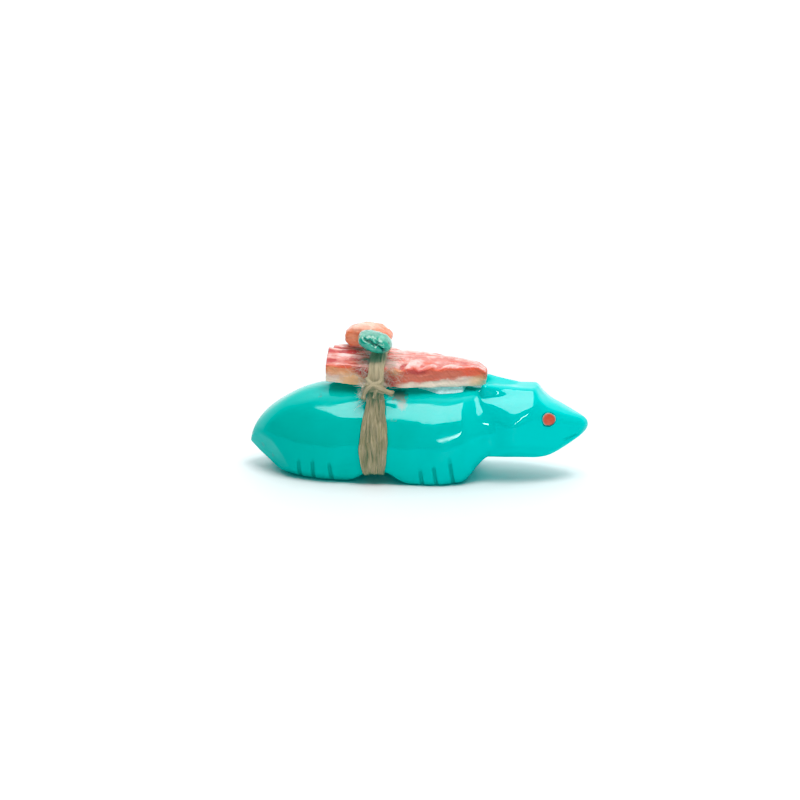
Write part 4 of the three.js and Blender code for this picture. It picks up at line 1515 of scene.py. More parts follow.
        for _ in range(self.shell_hairs):
            way = draw.choice([-1.0, 1.0])
            start = self.x + way * draw.uniform(0.4, 1.5)
            reach = draw.uniform(1.6, 4.6) * way
            run = np.linspace(0, 1, self.hair_rows)
            level = draw.uniform(-1.0, 1.6)
            slope = draw.normal(0, 0.8)
            bow = draw.normal(0, 0.7)
            x = start + reach * run
            q = level + slope * run + bow * np.sin(math.pi * run) + 0.12 * np.sin(5 * run + level * 9)
            strand = self.over_slab(x, q, 0.05 + 0.25 * np.sin(math.pi * run) * draw.uniform(0.1, 1))
            add(strand, draw.uniform(0.014, 0.026))
        for _ in range(self.knot_hairs):
            side = -1.0 if draw.random() < self.tailward_share else 1.0
            base = middle + np.array([side * draw.uniform(0.7, 1.7), 0, 0]) + up * draw.uniform(-2.2, 0.9)
            aside = side * draw.uniform(0.3, 1.2)
            heading = unit(np.array([aside, draw.normal(0, 0.25), draw.normal(-0.1, 0.7)]))
            curl = draw.normal(0, 1.4)
            run = np.linspace(0, 1, self.hair_rows)[:, None]
            length = draw.uniform(0.7, 2.3)
            sway = np.array([0, -0.25, 0.5 * curl]) * run**2 * 0.6
            wave = np.sin(run * draw.uniform(3, 7)) * draw.normal(0, 0.14) * up
            strand = base + out * (0.25 + 0.35 * run) + heading * length * run + sway + wave
            add(strand, draw.uniform(0.013, 0.024))
        return joined(parts)

    def over_slab(self, x: Array, q: Array, lift: Array) -> Array:
        """Points just over the slab's near face and top.

        Args:
            x: Points, along.
            q: -1 at the foot of the near face, 0 at its top edge, 1 well onto the top.
            lift: Clearance.

        Returns:
            The points.
        """
        s = np.clip(self.slab.share(x), 0, 1)
        near, _ = self.slab.edges(s)
        onto = np.clip(q, 0, 2) * 2.2
        edge = self.slab.bottom + self.slab.thickness(s, 0 * s, False)
        top = self.slab.top_height(x, near + onto)
        face = self.slab.bottom + (edge - self.slab.bottom) * (1 + np.clip(q, -1, 0))
        y = np.where(q > 0, near + onto - lift * 0.5, near - lift)
        return np.stack([x, y, np.where(q > 0, top + lift, face)], -1)

    def build(self, finish: "Sinew", hair_finish: "LooseFibre") -> None:
        """Makes the band, the knot and the loose fibres.

        Args:
            finish: Waxed sinew.
            hair_finish: Fine pale fibre.
        """
        points, faces, marks = self.band()
        band = make_piece("sinew_band", (points, faces), finish.material(), marks)
        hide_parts("sinew_tie")
        points, faces, marks = self.knot()
        knot = make_piece("sinew_knot", (points, faces), finish.material(), marks)
        hairs = make_piece("sinew_loose_fibres", self.hairs(), hair_finish.material())


@dataclass(frozen=True)
class GlueWedge:
    """Clear glue that fills the gap between the back and the slab's front half."""

    form: CarvedForm
    slab: ShellSlab
    start: float = 0.2
    end: float = 8.3
    sunk: float = 0.04
    bow: float = 0.28
    foot_bow: float = 0.22
    near_gap: float = 0.12
    far_gap: float = 0.5
    draw_in: Pair = (1.8, 1.6)
    narrowest: float = 0.4
    rows: int = 60
    face_rows: int = 12
    flat_rows: int = 8

    def build(self, finish: "ClearGlue") -> None:
        """Makes the wedge in place of its plain solid.

        Args:
            finish: Set glue.
        """
        run = np.linspace(0, 1, self.rows)
        x = self.start + (self.end - self.start) * run
        near, far = self.slab.edges(self.slab.share(x))
        fill = smooth_step(0.0, 0.5, run) * smooth_step(1.0, 0.93, run)
        front = near + self.near_gap + (1 - fill) * self.draw_in[0]
        rear = np.maximum(front + self.narrowest, far - self.far_gap - (1 - fill) * self.draw_in[1])
        up = np.linspace(0, 1, self.face_rows)
        rows = []
        for k in range(len(x)):
            bow = self.bow * np.sin(math.pi * up) - self.foot_bow * (1 - up) ** 2
            face = front[k] + bow
            back = rear[k] - self.bow * np.sin(math.pi * up[::-1])
            flat = np.linspace(front[k], rear[k], self.flat_rows + 2)[1:-1]
            y = np.concatenate([face, flat, back, flat[::-1]])
            h = np.concatenate([up, np.ones(self.flat_rows), up[::-1], np.zeros(self.flat_rows)])
            floor = self.form.back_height(np.full_like(y, x[k]), y) - self.sunk
            z = floor + (self.slab.bottom - 0.01 - floor) * h
            rows.append(np.stack([np.full_like(y, x[k]), y, z], -1))
        piece = make_piece("clear_glue_wedge", capped(np.array(rows)), finish.material())
        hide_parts("glue_pad")


# Finishes


class Graph:
    """Short hand for adding nodes to a tree."""

    def __init__(self, tree: bpy.types.NodeTree) -> None:
        """Keeps the tree, and its surface shader where it has one."""
        self.tree = tree
        self.surface = tree.nodes.get("Principled BSDF")

    def add(self, kind: str, feeds: dict | None = None, **settings: object) -> bpy.types.Node:
        """Adds a node.

        Args:
            kind: Type of the node, without its usual first word.
            feeds: Values or sockets for its inputs, by name or number.
            settings: Properties of the node.

        Returns:
            The new node.
        """
        node = self.tree.nodes.new("ShaderNode" + kind)
        for key, value in settings.items():
            setattr(node, key, value)
        for key, value in (feeds or {}).items():
            self.feed(node.inputs[key], value)
        return node

    def feed(self, socket: Socket, value: object) -> None:
        """Links a socket, or sets its value.

        Args:
            socket: Input to feed.
            value: Socket to link, or plain value.
        """
        if isinstance(value, Socket):
            self.tree.links.new(value, socket)
        elif socket.type == "RGBA" and len(value) == 3:
            socket.default_value = (*value, 1.0)
        else:
            socket.default_value = value

    def place(self) -> Socket:
        """Place on the object in millimetres."""
        spot = self.add("TexCoord").outputs["Object"]
        return self.add("VectorMath", {0: spot, "Scale": 1 / MM}, operation="SCALE").outputs[0]

    def mark(self, name: str) -> Socket:
        """Value of a mark that the mesh carries."""
        return self.add("Attribute", attribute_name=name).outputs["Fac"]

    def math(self, operation: str, *values: object) -> Socket:
        """Result of one sum."""
        return self.add("Math", dict(enumerate(values)), operation=operation).outputs[0]

    def plus(self, first: object, second: object) -> Socket:
        """Sum of two values."""
        return self.math("ADD", first, second)

    def minus(self, first: object, second: object) -> Socket:
        """First value less the second."""
        return self.math("SUBTRACT", first, second)

    def times(self, first: object, second: object) -> Socket:
        """Product of two values."""
        return self.math("MULTIPLY", first, second)

    def stretched(self, vector: object, scale: Triple) -> Socket:
        """A vector multiplied along each way."""
        return self.add("VectorMath", {0: vector, 1: scale}, operation="MULTIPLY").outputs[0]

    def noise(self, vector: object, scale: float, detail: float = 3.0, rough: float = 0.5) -> Socket:
        """Soft noise, about 0.5 in the middle."""
        feeds = {"Vector": vector, "Scale": scale, "Detail": detail, "Roughness": rough}
        return self.add("TexNoise", feeds).outputs["Fac"]

    def rise(self, value: object, low: object, high: object) -> Socket:
        """Smooth rise of a value from 0 at low to 1 at high."""
        feeds = {"Value": value, "From Min": low, "From Max": high}
        return self.add("MapRange", feeds, interpolation_type="SMOOTHSTEP").outputs["Result"]

    def spread(self, value: object, low: float, high: float) -> Socket:
        """A value from 0 to 1 turned into one from low to high."""
        return self.add("MapRange", {"Value": value, "To Min": low, "To Max": high}).outputs["Result"]

    def mix(self, share: object, first: object, second: object) -> Socket:
        """Blend of two colours."""
        return self.add("Mix", {0: share, 6: first, 7: second}, data_type="RGBA").outputs[2]

    def tinted(self, colour: object, other: object, mask: object, strength: object) -> Socket:
        """A colour moved toward another by a mask times a strength."""
        return self.mix(self.times(mask, strength), colour, other)

    def vector(self, x: object, y: object, z: object) -> Socket:
        """Vector of three values."""
        return self.add("CombineXYZ", {0: x, 1: y, 2: z}).outputs[0]

    def group(self, shared: bpy.types.NodeTree, **feeds: object) -> bpy.types.Node:
        """Places a shared group with its own values."""
        return self.add("Group", feeds, node_tree=shared)

    def cover(self, colour: object, rough: object) -> None:
        """Feeds the surface's colour and roughness."""
        self.feed(self.surface.inputs["Base Color"], colour)
        self.feed(self.surface.inputs["Roughness"], rough)

    def relief(self, height: object, depth: float) -> None:
        """Feeds a relief to the surface's normal, its depth in millimetres."""
        bumped = self.add("Bump", {"Height": height, "Distance": depth * MM, "Strength": 1.0})
        self.feed(self.surface.inputs["Normal"], bumped.outputs["Normal"])

    def plain(self, **values: object) -> None:
        """Sets uniform values of the surface, with _ for a space in an input's name."""
        for key, value in values.items():
            self.surface.inputs[key.replace("_", " ")].default_value = value

    def soak(self, share: float, reach: Triple) -> None:
        """Lets light soak into the surface, to a reach in metres for each colour."""
        self.plain(Subsurface_Weight=share, Subsurface_Radius=reach, Subsurface_Scale=1.0)


class SocketKind(Enum):
    """Kinds of socket that a shared group has."""

    VALUE = "NodeSocketFloat"
    VECTOR = "NodeSocketVector"


def shared_group(
    name: str, inputs: dict[str, SocketKind], outputs: Sequence[str], wire: Callable
) -> bpy.types.NodeTree:
    """Group of nodes that several finishes use, made on first use.

    Args:
        name: Name of the group.
        inputs: Kind of each input.
        outputs: Names of the outputs, all of them values.
        wire: Adds the nodes between the group's inputs and outputs.

    Returns:
        The group.
    """
    known = bpy.data.node_groups.get(name)
    if known:
        return known
    tree = bpy.data.node_groups.new(name, "ShaderNodeTree")
    for key, kind in inputs.items():
        tree.interface.new_socket(key, in_out="INPUT", socket_type=kind.value)
    for key in outputs:
        tree.interface.new_socket(key, in_out="OUTPUT", socket_type=SocketKind.VALUE.value)
    take, give = tree.nodes.new("NodeGroupInput"), tree.nodes.new("NodeGroupOutput")
    wire(Graph(tree), take.outputs, give.inputs)
    return tree


def wire_spot(graph: Graph, take: dict, give: dict) -> None:
    """Mask of a soft-edged spot round a place.

    Args:
        graph: The group's nodes.
        take: Sockets that give its inputs.
        give: Sockets that take its outputs.
    """
    offset = graph.add("VectorMath", {0: take["Place"], 1: take["Middle"]}, operation="SUBTRACT").outputs[0]
    share = graph.add("VectorMath", {0: offset, 1: take["Size"]}, operation="DIVIDE").outputs[0]
    reach = graph.add("VectorMath", {0: share}, operation="LENGTH").outputs["Value"]
    rag = graph.times(graph.minus(graph.noise(take["Place"], 2.2, 4.0, 0.65), 0.5), take["Ragged"])
    graph.feed(give["Mask"], graph.rise(graph.plus(reach, rag), 1.15, 0.35))


def wire_polish(graph: Graph, take: dict, give: dict) -> None:
    """Surface polished by hand: uneven gloss, slow waves and hair scratches.

    Args:
        graph: The group's nodes.
        take: Sockets that give its inputs.
        give: Sockets that take its outputs.
    """
    patch = graph.rise(graph.noise(take["Place"], 0.35, 4.0, 0.6), 0.35, 0.75)
    scratch_place = graph.stretched(take["Place"], (0.6, 3.0, 9.0))
    scratch = graph.rise(graph.noise(scratch_place, 1.6, 2.0, 0.4), 0.66, 0.74)
    uneven = graph.plus(graph.times(patch, 0.7), graph.times(scratch, 0.35))
    span = graph.minus(take["Dullest"], take["Glossiest"])
    graph.feed(give["Roughness"], graph.plus(take["Glossiest"], graph.times(uneven, span)))
    wave = graph.times(graph.noise(take["Place"], 0.3, 2.0, 0.4), take["Wave"])
    grain = graph.times(graph.noise(take["Place"], 5.0, 4.0, 0.6), take["Grain"])
    graph.feed(give["Height"], graph.plus(wave, grain))


def wire_streaks(graph: Graph, take: dict, give: dict) -> None:
    """Streaks that run one way, as in shell and fibre.

    Args:
        graph: The group's nodes.
        take: Sockets that give its inputs.
        give: Sockets that take its outputs.
    """
    broad = graph.noise(take["Place"], 1.0, 3.0, 0.55)
    fine = graph.noise(take["Place"], 3.4, 3.0, 0.6)
    both = graph.plus(graph.times(broad, 0.65), graph.times(fine, 0.35))
    graph.feed(give["Mask"], graph.rise(both, take["Low"], take["High"]))


def streaks(graph: Graph, place: object, low: float, high: float) -> Socket:
    """Mask of lengthwise streaks between two levels of their noise.

    Args:
        graph: The material's nodes.
        place: Stretched place.
        low: Level of no streak.
        high: Level of a full streak.

    Returns:
        Socket of the mask.
    """
    kinds = {"Place": SocketKind.VECTOR, "Low": SocketKind.VALUE, "High": SocketKind.VALUE}
    shared = shared_group("lengthwise streaks", kinds, ["Mask"], wire_streaks)
    return graph.group(shared, Place=place, Low=low, High=high).outputs["Mask"]


def new_material(name: str) -> tuple[bpy.types.Material, Graph]:
    """New material with nodes.

    Args:
        name: Name of the material.

    Returns:
        The material and its nodes.
    """
    made = bpy.data.materials.new(name)
    made.use_nodes = True
    return made, Graph(made.node_tree)


@dataclass(frozen=True)
class Stain:
    """Soft spot of dirt, glue or colour on a stone."""

    middle: Triple
    size: Triple
    colour: Colour
    strength: float
    ragged: float = 1.0

    def mask(self, graph: Graph, place: object) -> Socket:
        """Mask of the spot, from 0 to 1.

        Args:
            graph: The material's nodes.
            place: Place on the object in millimetres.

        Returns:
            Socket of the result.
        """
        kinds = dict.fromkeys(("Place", "Middle", "Size"), SocketKind.VECTOR) | {"Ragged": SocketKind.VALUE}
        shared = shared_group("soft spot", kinds, ["Mask"], wire_spot)
        feeds = {"Place": place, "Middle": self.middle, "Size": self.size, "Ragged": self.ragged}
        return graph.group(shared, **feeds).outputs["Mask"]


@dataclass(frozen=True)
class Finish:
    """Base of every finish: keeps one material by name."""

    name: str = "finish"

    def material(self) -> bpy.types.Material:
        """The finish's material, made on first use.

        Returns:
            The material.
        """
        known = bpy.data.materials.get(self.name)
        if known:
            return known
        made, graph = new_material(self.name)
        self.paint(graph)
        return made

    def paint(self, graph: Graph) -> None:
        """Feeds the surface of the material."""
        raise NotImplementedError


@dataclass(frozen=True)
class Polished(Finish):
    """Base of the finishes that are polished by hand."""

    gloss: Pair = (0.05, 0.16)
    wave: float = 1.0
    grain: float = 0.25
    depth: float = 0.05

    def polish(self, graph: Graph, place: object) -> bpy.types.Node:
        """Node that gives the roughness and the height of the polish.

        Args:
            graph: The material's nodes.
            place: Place on the object in millimetres.

        Returns:
            Node with a roughness and a height.
        """
        feeds = {"Dullest": self.gloss[1], "Glossiest": self.gloss[0], "Wave": self.wave, "Grain": self.grain}
        kinds = {"Place": SocketKind.VECTOR, **dict.fromkeys(feeds, SocketKind.VALUE)}
        shared = shared_group("hand polish", kinds, ["Roughness", "Height"], wire_polish)
        return graph.group(shared, Place=place, **feeds)


@dataclass(frozen=True)
class Turquoise(Polished):
    """Blue-green stone with a high polish and a few stains. Painted light makes it darker toward the tail and
    lighter toward the head, and painted shade darkens its grooves and sockets.
    """

    name: str = "polished turquoise"
    # deep and light are the tail and head ends of the painted-light ramp.
    deep: Colour = (0.0, 0.46, 0.39)
    light: Colour = (0.0, 0.585, 0.55)
    # Colour of the random flecks, and of the painted shade in the grooves, the mouth and the eye sockets.
    fleck_and_groove_shade: Colour = (0.0, 0.27, 0.225)
    tint: Colour = (0.8, 0.98, 1.0)
    grain: float = 0.012
    stains: tuple[Stain, ...] = (
        Stain((-2.9, -4.3, 14.8), (1.8, 2.6, 1.5), (0.20, 0.14, 0.10), 0.92, 1.6),
        Stain((-2.2, -5.9, 13.6), (1.0, 1.2, 1.1), (0.50, 0.28, 0.22), 0.6, 1.4),
        Stain((-3.9, -8.2, 11.2), (1.6, 1.0, 0.6), (0.50, 0.20, 0.08), 0.8, 1.5),
        Stain((-16.4, -4.6, 14.2), (0.7, 1.0, 0.5), (0.16, 0.12, 0.09), 0.45, 2.0),
        Stain((-9.3, -4.2, 15.0), (1.6, 1.3, 0.8), (0.30, 0.36, 0.30), 0.5, 2.0),
        Stain((3.4, -8.3, 10.9), (0.5, 0.5, 0.35), (0.14, 0.16, 0.13), 0.4, 2.2),
        Stain((4.7, -6.6, 13.1), (0.35, 0.4, 0.3), (0.12, 0.14, 0.12), 0.5, 2.0),
        Stain((-26.2, -2.5, 4.6), (0.5, 0.6, 0.9), (0.14, 0.20, 0.17), 0.45, 2.2),
        Stain((-24.6, -4.4, 3.0), (0.4, 0.5, 0.5), (0.14, 0.20, 0.17), 0.35, 2.2),
    )

    def paint(self, graph: Graph) -> None:
        """Feeds the surface of the material.

        Args:
            graph: The material's nodes.
        """
        place = graph.place()
        # Painted light: a ramp along the length, wandering with noise, paints the stone darker toward the
        # tail and lighter toward the head.
        length = graph.add("SeparateXYZ", {0: place}).outputs["X"]
        drift = graph.times(graph.minus(graph.noise(place, 0.13, 3.0, 0.5), 0.5), 24.0)
        painted_light_ramp = graph.rise(graph.plus(length, drift), -24.0, 26.0)
        fleck = graph.rise(graph.noise(place, 1.7, 5.0, 0.6), 0.55, 0.8)
        colour = graph.mix(painted_light_ramp, self.deep, self.light)
        colour = graph.tinted(colour, self.fleck_and_groove_shade, fleck, 0.1)
        # Painted shade: the grooves, the mouth and the eye sockets are darkened by how deep they sink.
        colour = graph.tinted(colour, self.fleck_and_groove_shade, graph.mark("sunk"), 0.55)
        for stain in self.stains:
            colour = graph.tinted(colour, stain.colour, stain.mask(graph, place), stain.strength)
        polish = self.polish(graph, place).outputs
        dull = graph.times(graph.mark("sunk"), 0.3)
        graph.cover(colour, graph.plus(polish["Roughness"], dull))
        graph.plain(IOR=1.6, Specular_Tint=(*self.tint, 1.0))
        graph.relief(polish["Height"], self.depth)


@dataclass(frozen=True)
class Coral(Polished):
    """Red or salmon coral, waxy, with pale grown streaks."""

    name: str = "coral"
    main: Colour = (0.58, 0.065, 0.03)
    pale: Colour = (0.64, 0.11, 0.055)
    dark: Colour = (0.36, 0.03, 0.015)
    lit_top_colour: Colour = (0.84, 0.58, 0.46)
    streak_stretch: Triple = (0.5, 1.4, 1.6)
    gloss: Pair = (0.18, 0.4)
    depth: float = 0.09
    lit_top_heights: Pair = (90.0, 99.0)

    def paint(self, graph: Graph) -> None:
        """Feeds the surface of the material.

        Args:
            graph: The material's nodes.
        """
        place = graph.place()
        streak = streaks(graph, graph.stretched(place, self.streak_stretch), 0.4, 0.66)
        colour = graph.mix(streak, self.main, self.pale)
        pore = graph.rise(graph.noise(place, 3.2, 4.0, 0.6), 0.62, 0.74)
        colour = graph.tinted(colour, self.dark, pore, 0.45)
        height = graph.add("SeparateXYZ", {0: place}).outputs["Z"]
        # Painted light: above these heights the coral turns to its palest tone, a lit top; on the eyes the
        # heights are out of reach.
        ragged = graph.plus(height, graph.times(graph.noise(place, 0.9, 3.0), 0.8))
        colour = graph.mix(graph.rise(ragged, *self.lit_top_heights), colour, self.lit_top_colour)
        polish = self.polish(graph, place).outputs
        graph.cover(colour, polish["Roughness"])
        graph.plain(IOR=1.5)
        graph.soak(0.12, (0.0012, 0.0006, 0.0004))
        graph.relief(polish["Height"], self.depth)


@dataclass(frozen=True)
class Nugget(Polished):
    """Green turquoise with a dark crack and brown matrix."""

    name: str = "nugget turquoise"
    main: Colour = (0.05, 0.29, 0.195)
    pale: Colour = (0.10, 0.42, 0.29)
    deep: Colour = (0.06, 0.15, 0.10)
    matrix: Stain = Stain((-6.4, -4.0, 23.4), (2.1, 2.2, 1.2), (0.07, 0.06, 0.03), 0.85, 1.2)
    gloss: Pair = (0.04, 0.16)
    wave: float = 0.5
    grain: float = 0.01
    depth: float = 0.07

    def paint(self, graph: Graph) -> None:
        """Feeds the surface of the material.

        Args:
            graph: The material's nodes.
        """
        place = graph.place()
        colour = graph.mix(graph.rise(graph.noise(place, 0.7, 4.0, 0.6), 0.38, 0.64), self.main, self.pale)
        colour = graph.mix(graph.rise(graph.noise(place, 1.1, 3.0, 0.5), 0.56, 0.72), colour, self.deep)
        web = graph.add(
            "TexVoronoi",
            {"Vector": graph.stretched(place, (1.0, 1.0, 1.3)), "Scale": 0.62, "Randomness": 1.0},
            feature="DISTANCE_TO_EDGE",
        ).outputs["Distance"]
        ragged = graph.plus(web, graph.times(graph.noise(place, 2.4, 4.0, 0.65), 0.16))
        vein = graph.rise(ragged, 0.1, 0.05)
        vein = graph.times(vein, graph.spread(self.matrix.mask(graph, place), 0.0, 0.7))
        vein = graph.math("MAXIMUM", vein, graph.rise(graph.mark("sunk"), 0.35, 0.95))
        colour = graph.tinted(colour, self.matrix.colour, vein, self.matrix.strength)
        polish = self.polish(graph, place).outputs
        rough = graph.plus(polish["Roughness"], graph.times(vein, 0.25))
        graph.cover(colour, rough)
        graph.plain(IOR=1.6, Coat_Weight=0.8, Coat_Roughness=0.03)
        graph.relief(graph.minus(polish["Height"], vein), self.depth)


CREAM = (0.86, 0.71, 0.58)
AMBER = (0.88, 0.46, 0.19)
SALMON = (0.68, 0.155, 0.085)
RED = (0.50, 0.03, 0.03)
SCARLET = (0.82, 0.09, 0.03)


@dataclass(frozen=True)
class Shell(Polished):
    """Spiny shell: cream at the foot of the near face, red at its top, red valleys on its ribbed top,
    deepened as painted shade in their troughs.
    """

    name: str = "banded shell"
    pink: Colour = (0.68, 0.22, 0.18)
    blush: Colour = (0.88, 0.58, 0.54)
    gloss: Pair = (0.12, 0.42)
    wave: float = 0.9
    grain: float = 0.15
    depth: float = 0.1
    streak_stretch: Triple = (4.0, 10.0, 7.0)
    tie_along: float = 0.66
    patches: tuple[Stain, ...] = (
        Stain((-13.2, -3.7, 18.5), (3.4, 1.5, 1.1), AMBER, 0.55),
        Stain((-11.0, -3.9, 16.7), (2.6, 1.5, 1.8), AMBER, 0.85),
        Stain((-9.2, -3.9, 19.0), (1.8, 1.5, 1.3), RED, 0.9),
        Stain((-12.6, -3.8, 19.3), (1.8, 1.5, 0.5), SCARLET, 0.9),
        Stain((-3.9, -4.3, 17.4), (1.5, 1.5, 2.4), SALMON, 0.9),
        Stain((-3.4, -4.3, 18.9), (1.3, 1.5, 0.9), AMBER, 0.5),
        Stain((-4.2, -4.3, 17.0), (1.0, 1.5, 1.4), RED, 0.85),
        Stain((0.3, -4.2, 18.9), (2.6, 1.5, 0.8), RED, 0.8),
        Stain((10.2, -1.6, 17.0), (1.8, 1.5, 1.6), AMBER, 0.55),
        Stain((9.4, -1.7, 18.3), (3.0, 1.5, 0.8), SCARLET, 0.7),
    )
    red_tones: Pair = (0.42, 0.8)

    def paint(self, graph: Graph) -> None:
        """Feeds the surface of the material.

        Args:
            graph: The material's nodes.
        """
        place = graph.place()
        along, across, up = (graph.mark(name) for name in ("along", "across", "up"))
        valley = graph.mark("valley")
        wander = graph.minus(graph.noise(graph.stretched(place, (0.35, 0.5, 1.0)), 0.8, 3.0), 0.5)
        ragged = graph.minus(graph.noise(place, 1.9, 4.0, 0.6), 0.5)
        level = graph.plus(up, graph.times(wander, 0.45))
        level = graph.plus(level, graph.times(ragged, 0.16))
        ways = (graph.times(way, stretch) for way, stretch in zip((along, across, up), self.streak_stretch))
        streak = streaks(graph, graph.vector(*ways), 0.4, 0.62)
        face = self.near_face(graph, place, along, across, up, level, streak)
        fine = graph.spread(graph.rise(along, 0.4, 0.75), 0.16, 0.34)
        # The valleys take the shell's red, deepened as painted shade in the troughs.
        tone = graph.plus(graph.times(valley, 0.75), graph.times(streak, fine))
        tone = graph.plus(tone, graph.times(ragged, 0.5))
        worn = graph.rise(graph.noise(graph.stretched(place, (0.5, 0.8, 1.0)), 0.55, 3.0), 0.42, 0.62)
        tone = graph.minus(tone, graph.times(worn, 0.3))
        top = graph.mix(graph.rise(tone, 0.0, self.red_tones[0]), self.blush, self.pink)
        top = graph.mix(graph.rise(tone, *self.red_tones), top, RED)
        lip = graph.times(graph.rise(across, 0.1, 0.02), graph.rise(ragged, -0.2, 0.1))
        lip = graph.times(lip, graph.spread(graph.rise(along, 0.3, 0.1), 0.5, 0.95))
        top = graph.mix(lip, top, SCARLET)
        colour = graph.mix(self.on_top(graph, up, across), face, top)
        polish = self.polish(graph, place).outputs
        graph.cover(colour, polish["Roughness"])
        graph.plain(IOR=1.5)
        graph.soak(0.12, (0.0012, 0.0006, 0.0005))
        height = graph.plus(polish["Height"], graph.times(streak, 0.25))
        graph.relief(height, self.depth)

    def near_face(
        self, graph: Graph, place: object, along: object, across: object, up: object, level: object,
        streak: object,
    ) -> Socket:
        """Colour of the ground faces, cream at the foot and red at the top.

        Args:
            graph: The material's nodes.
            place: Place on the slab in millimetres.
            along: Share of the length, from the tip.
            across: Share of the width, from the near edge.
            up: Share of the thickness.
            level: Share of the thickness, with a wavy edge.
            streak: Mask of the lengthwise streaks.

        Returns:
            The colour.
        """
        start = graph.spread(graph.rise(along, 0.05, 0.5), 0.42, 0.12)
        start = graph.plus(start, graph.times(graph.rise(along, 0.72, 0.8), 0.36))
        face = graph.mix(graph.rise(graph.minus(level, start), 0.0, 0.2), CREAM, SALMON)
        face = graph.tinted(face, RED, streak, 0.32)
        foot = graph.rise(level, 0.36, 0.12)
        tie = graph.rise(graph.math("ABSOLUTE", graph.minus(along, self.tie_along)), 0.05, 0.2)
        face = graph.tinted(face, CREAM, foot, graph.times(tie, 0.85))
        face = graph.mix(graph.rise(level, 0.74, 1.0), face, SCARLET)
        share = graph.minus(1.0, self.on_top(graph, up, across))
        for patch in self.patches:
            held = graph.times(patch.mask(graph, place), patch.strength)
            face = graph.tinted(face, patch.colour, held, share)
        return face

    @staticmethod
    def on_top(graph: Graph, up: object, across: object) -> Socket:
        """Share of the top's colours: 0 on the ground faces, 1 on the ribbed top."""
        inner = graph.rise(across, 0.0, 0.035)
        return graph.times(graph.rise(up, 0.93, 0.99), inner)


@dataclass(frozen=True)
class Sinew(Finish):
    """Waxed tan sinew with fine lengthwise fibres, painted paler high up as painted light and darker at each
    strand's edges as painted shade.
    """

    name: str = "waxed sinew"
    main: Colour = (0.28, 0.225, 0.10)
    pale: Colour = (0.66, 0.54, 0.34)
    dark: Colour = (0.17, 0.12, 0.05)
    fibre_stretch: Triple = (4.2, 0.32, 7.3)
    painted_light_heights: Pair = (13.9, 18.8)
    roughness: Pair = (0.62, 0.36)
    depth: float = 0.07

    def paint(self, graph: Graph) -> None:
        """Feeds the surface of the material.

        Args:
            graph: The material's nodes.
        """
        across, along, number = (graph.mark(mark) for mark in FIBRE_MARKS)
        marks = (across, along, number)
        ways = (graph.times(way, stretch) for way, stretch in zip(marks, self.fibre_stretch))
        fibre = streaks(graph, graph.vector(*ways), 0.38, 0.64)
        shade = graph.rise(graph.noise(graph.vector(0.0, along, number), 0.5, 2.0), 0.3, 0.7)
        colour = graph.mix(fibre, self.main, self.pale)
        colour = graph.tinted(colour, self.dark, shade, 0.35)
        # Painted light: the sinew turns paler with height, lifting the part over the slab that lies in shade
        # under the nugget.
        high = graph.rise(graph.add("SeparateXYZ", {0: graph.place()}).outputs["Z"], *self.painted_light_heights)
        colour = graph.tinted(colour, self.pale, high, 0.85)
        # Painted shade: each strand is darker toward its edges, where it meets the next.
        edge = graph.rise(graph.math("ABSOLUTE", across), 0.72, 1.0)
        colour = graph.tinted(colour, self.dark, edge, 0.35)
        graph.cover(colour, graph.spread(fibre, *self.roughness))
        graph.soak(0.1, (0.0006, 0.0005, 0.0003))
        graph.relief(fibre, self.depth)


@dataclass(frozen=True)
class Speckled(Finish):
    """Base of the finishes that mix two tones by one noise."""

    first: Colour = (0.75, 0.70, 0.62)
    second: Colour = (0.45, 0.37, 0.25)
    grain: Triple = (0.9, 3.0, 0.5)
    levels: Pair = (0.35, 0.65)
    roughness: Pair = (0.5, 0.7)

    def speckle(self, graph: Graph) -> Socket:
        """Feeds the colour and the roughness, and gives their mask.

        Args:
            graph: The material's nodes.

        Returns:
            Socket of the mask.
        """
        mask = graph.rise(graph.noise(graph.place(), *self.grain), *self.levels)
        graph.cover(graph.mix(mask, self.first, self.second), graph.spread(mask, *self.roughness))
        return mask

    def paint(self, graph: Graph) -> None:
        """Feeds the surface of the material."""
        self.speckle(graph)


@dataclass(frozen=True)
class LooseFibre(Speckled):
    """Thin pale fibre."""

    name: str = "loose sinew fibre"


@dataclass(frozen=True)
class GlueRim(Speckled):
    """Milky dried glue with a little dirt in it."""

    name: str = "milky glue"
    first: Colour = (0.5, 0.45, 0.4)
    second: Colour = (0.14, 0.11, 0.09)
    grain: Triple = (2.6, 4.0, 0.6)
    levels: Pair = (0.45, 0.7)
    roughness: Pair = (0.3, 0.55)


@dataclass(frozen=True)
class ClearGlue(Speckled):
    """Clear set glue with faint bubbles, painted pale aqua for the turquoise seen through it and for its
    sheen.
    """

    name: str = "clear glue"
    # The pale aqua tones are painted: they stand for the turquoise seen through the glue and the sheen on its
    # face.
    first: Colour = (0.50, 0.80, 0.78)
    second: Colour = (0.42, 0.72, 0.71)
    grain: Triple = (1.4, 4.0, 0.6)
    levels: Pair = (0.35, 0.7)
    roughness: Pair = (0.2, 0.35)
    depth: float = 0.0005

    def paint(self, graph: Graph) -> None:
        """Feeds the surface of the material.

        Args:
            graph: The material's nodes.
        """
        haze = self.speckle(graph)
        graph.plain(IOR=1.46, Transmission_Weight=0.14)
        graph.relief(haze, self.depth)


# Studio


def turn_to(thing: bpy.types.Object, place: Triple, aim: Vector, spin: float) -> None:
    """Puts an object at a place, facing a point, with a turn in degrees about its own axis.

    Args:
        thing: The object.
        place: Where it goes, in metres.
        aim: Point that it faces.
        spin: Turn about its own axis, in degrees.
    """
    thing.location = place
    thing.rotation_mode = "QUATERNION"
    look = (aim - Vector(place)).to_track_quat("-Z", "Y")
    thing.rotation_quaternion = look @ Quaternion((0, 0, 1), math.radians(spin))


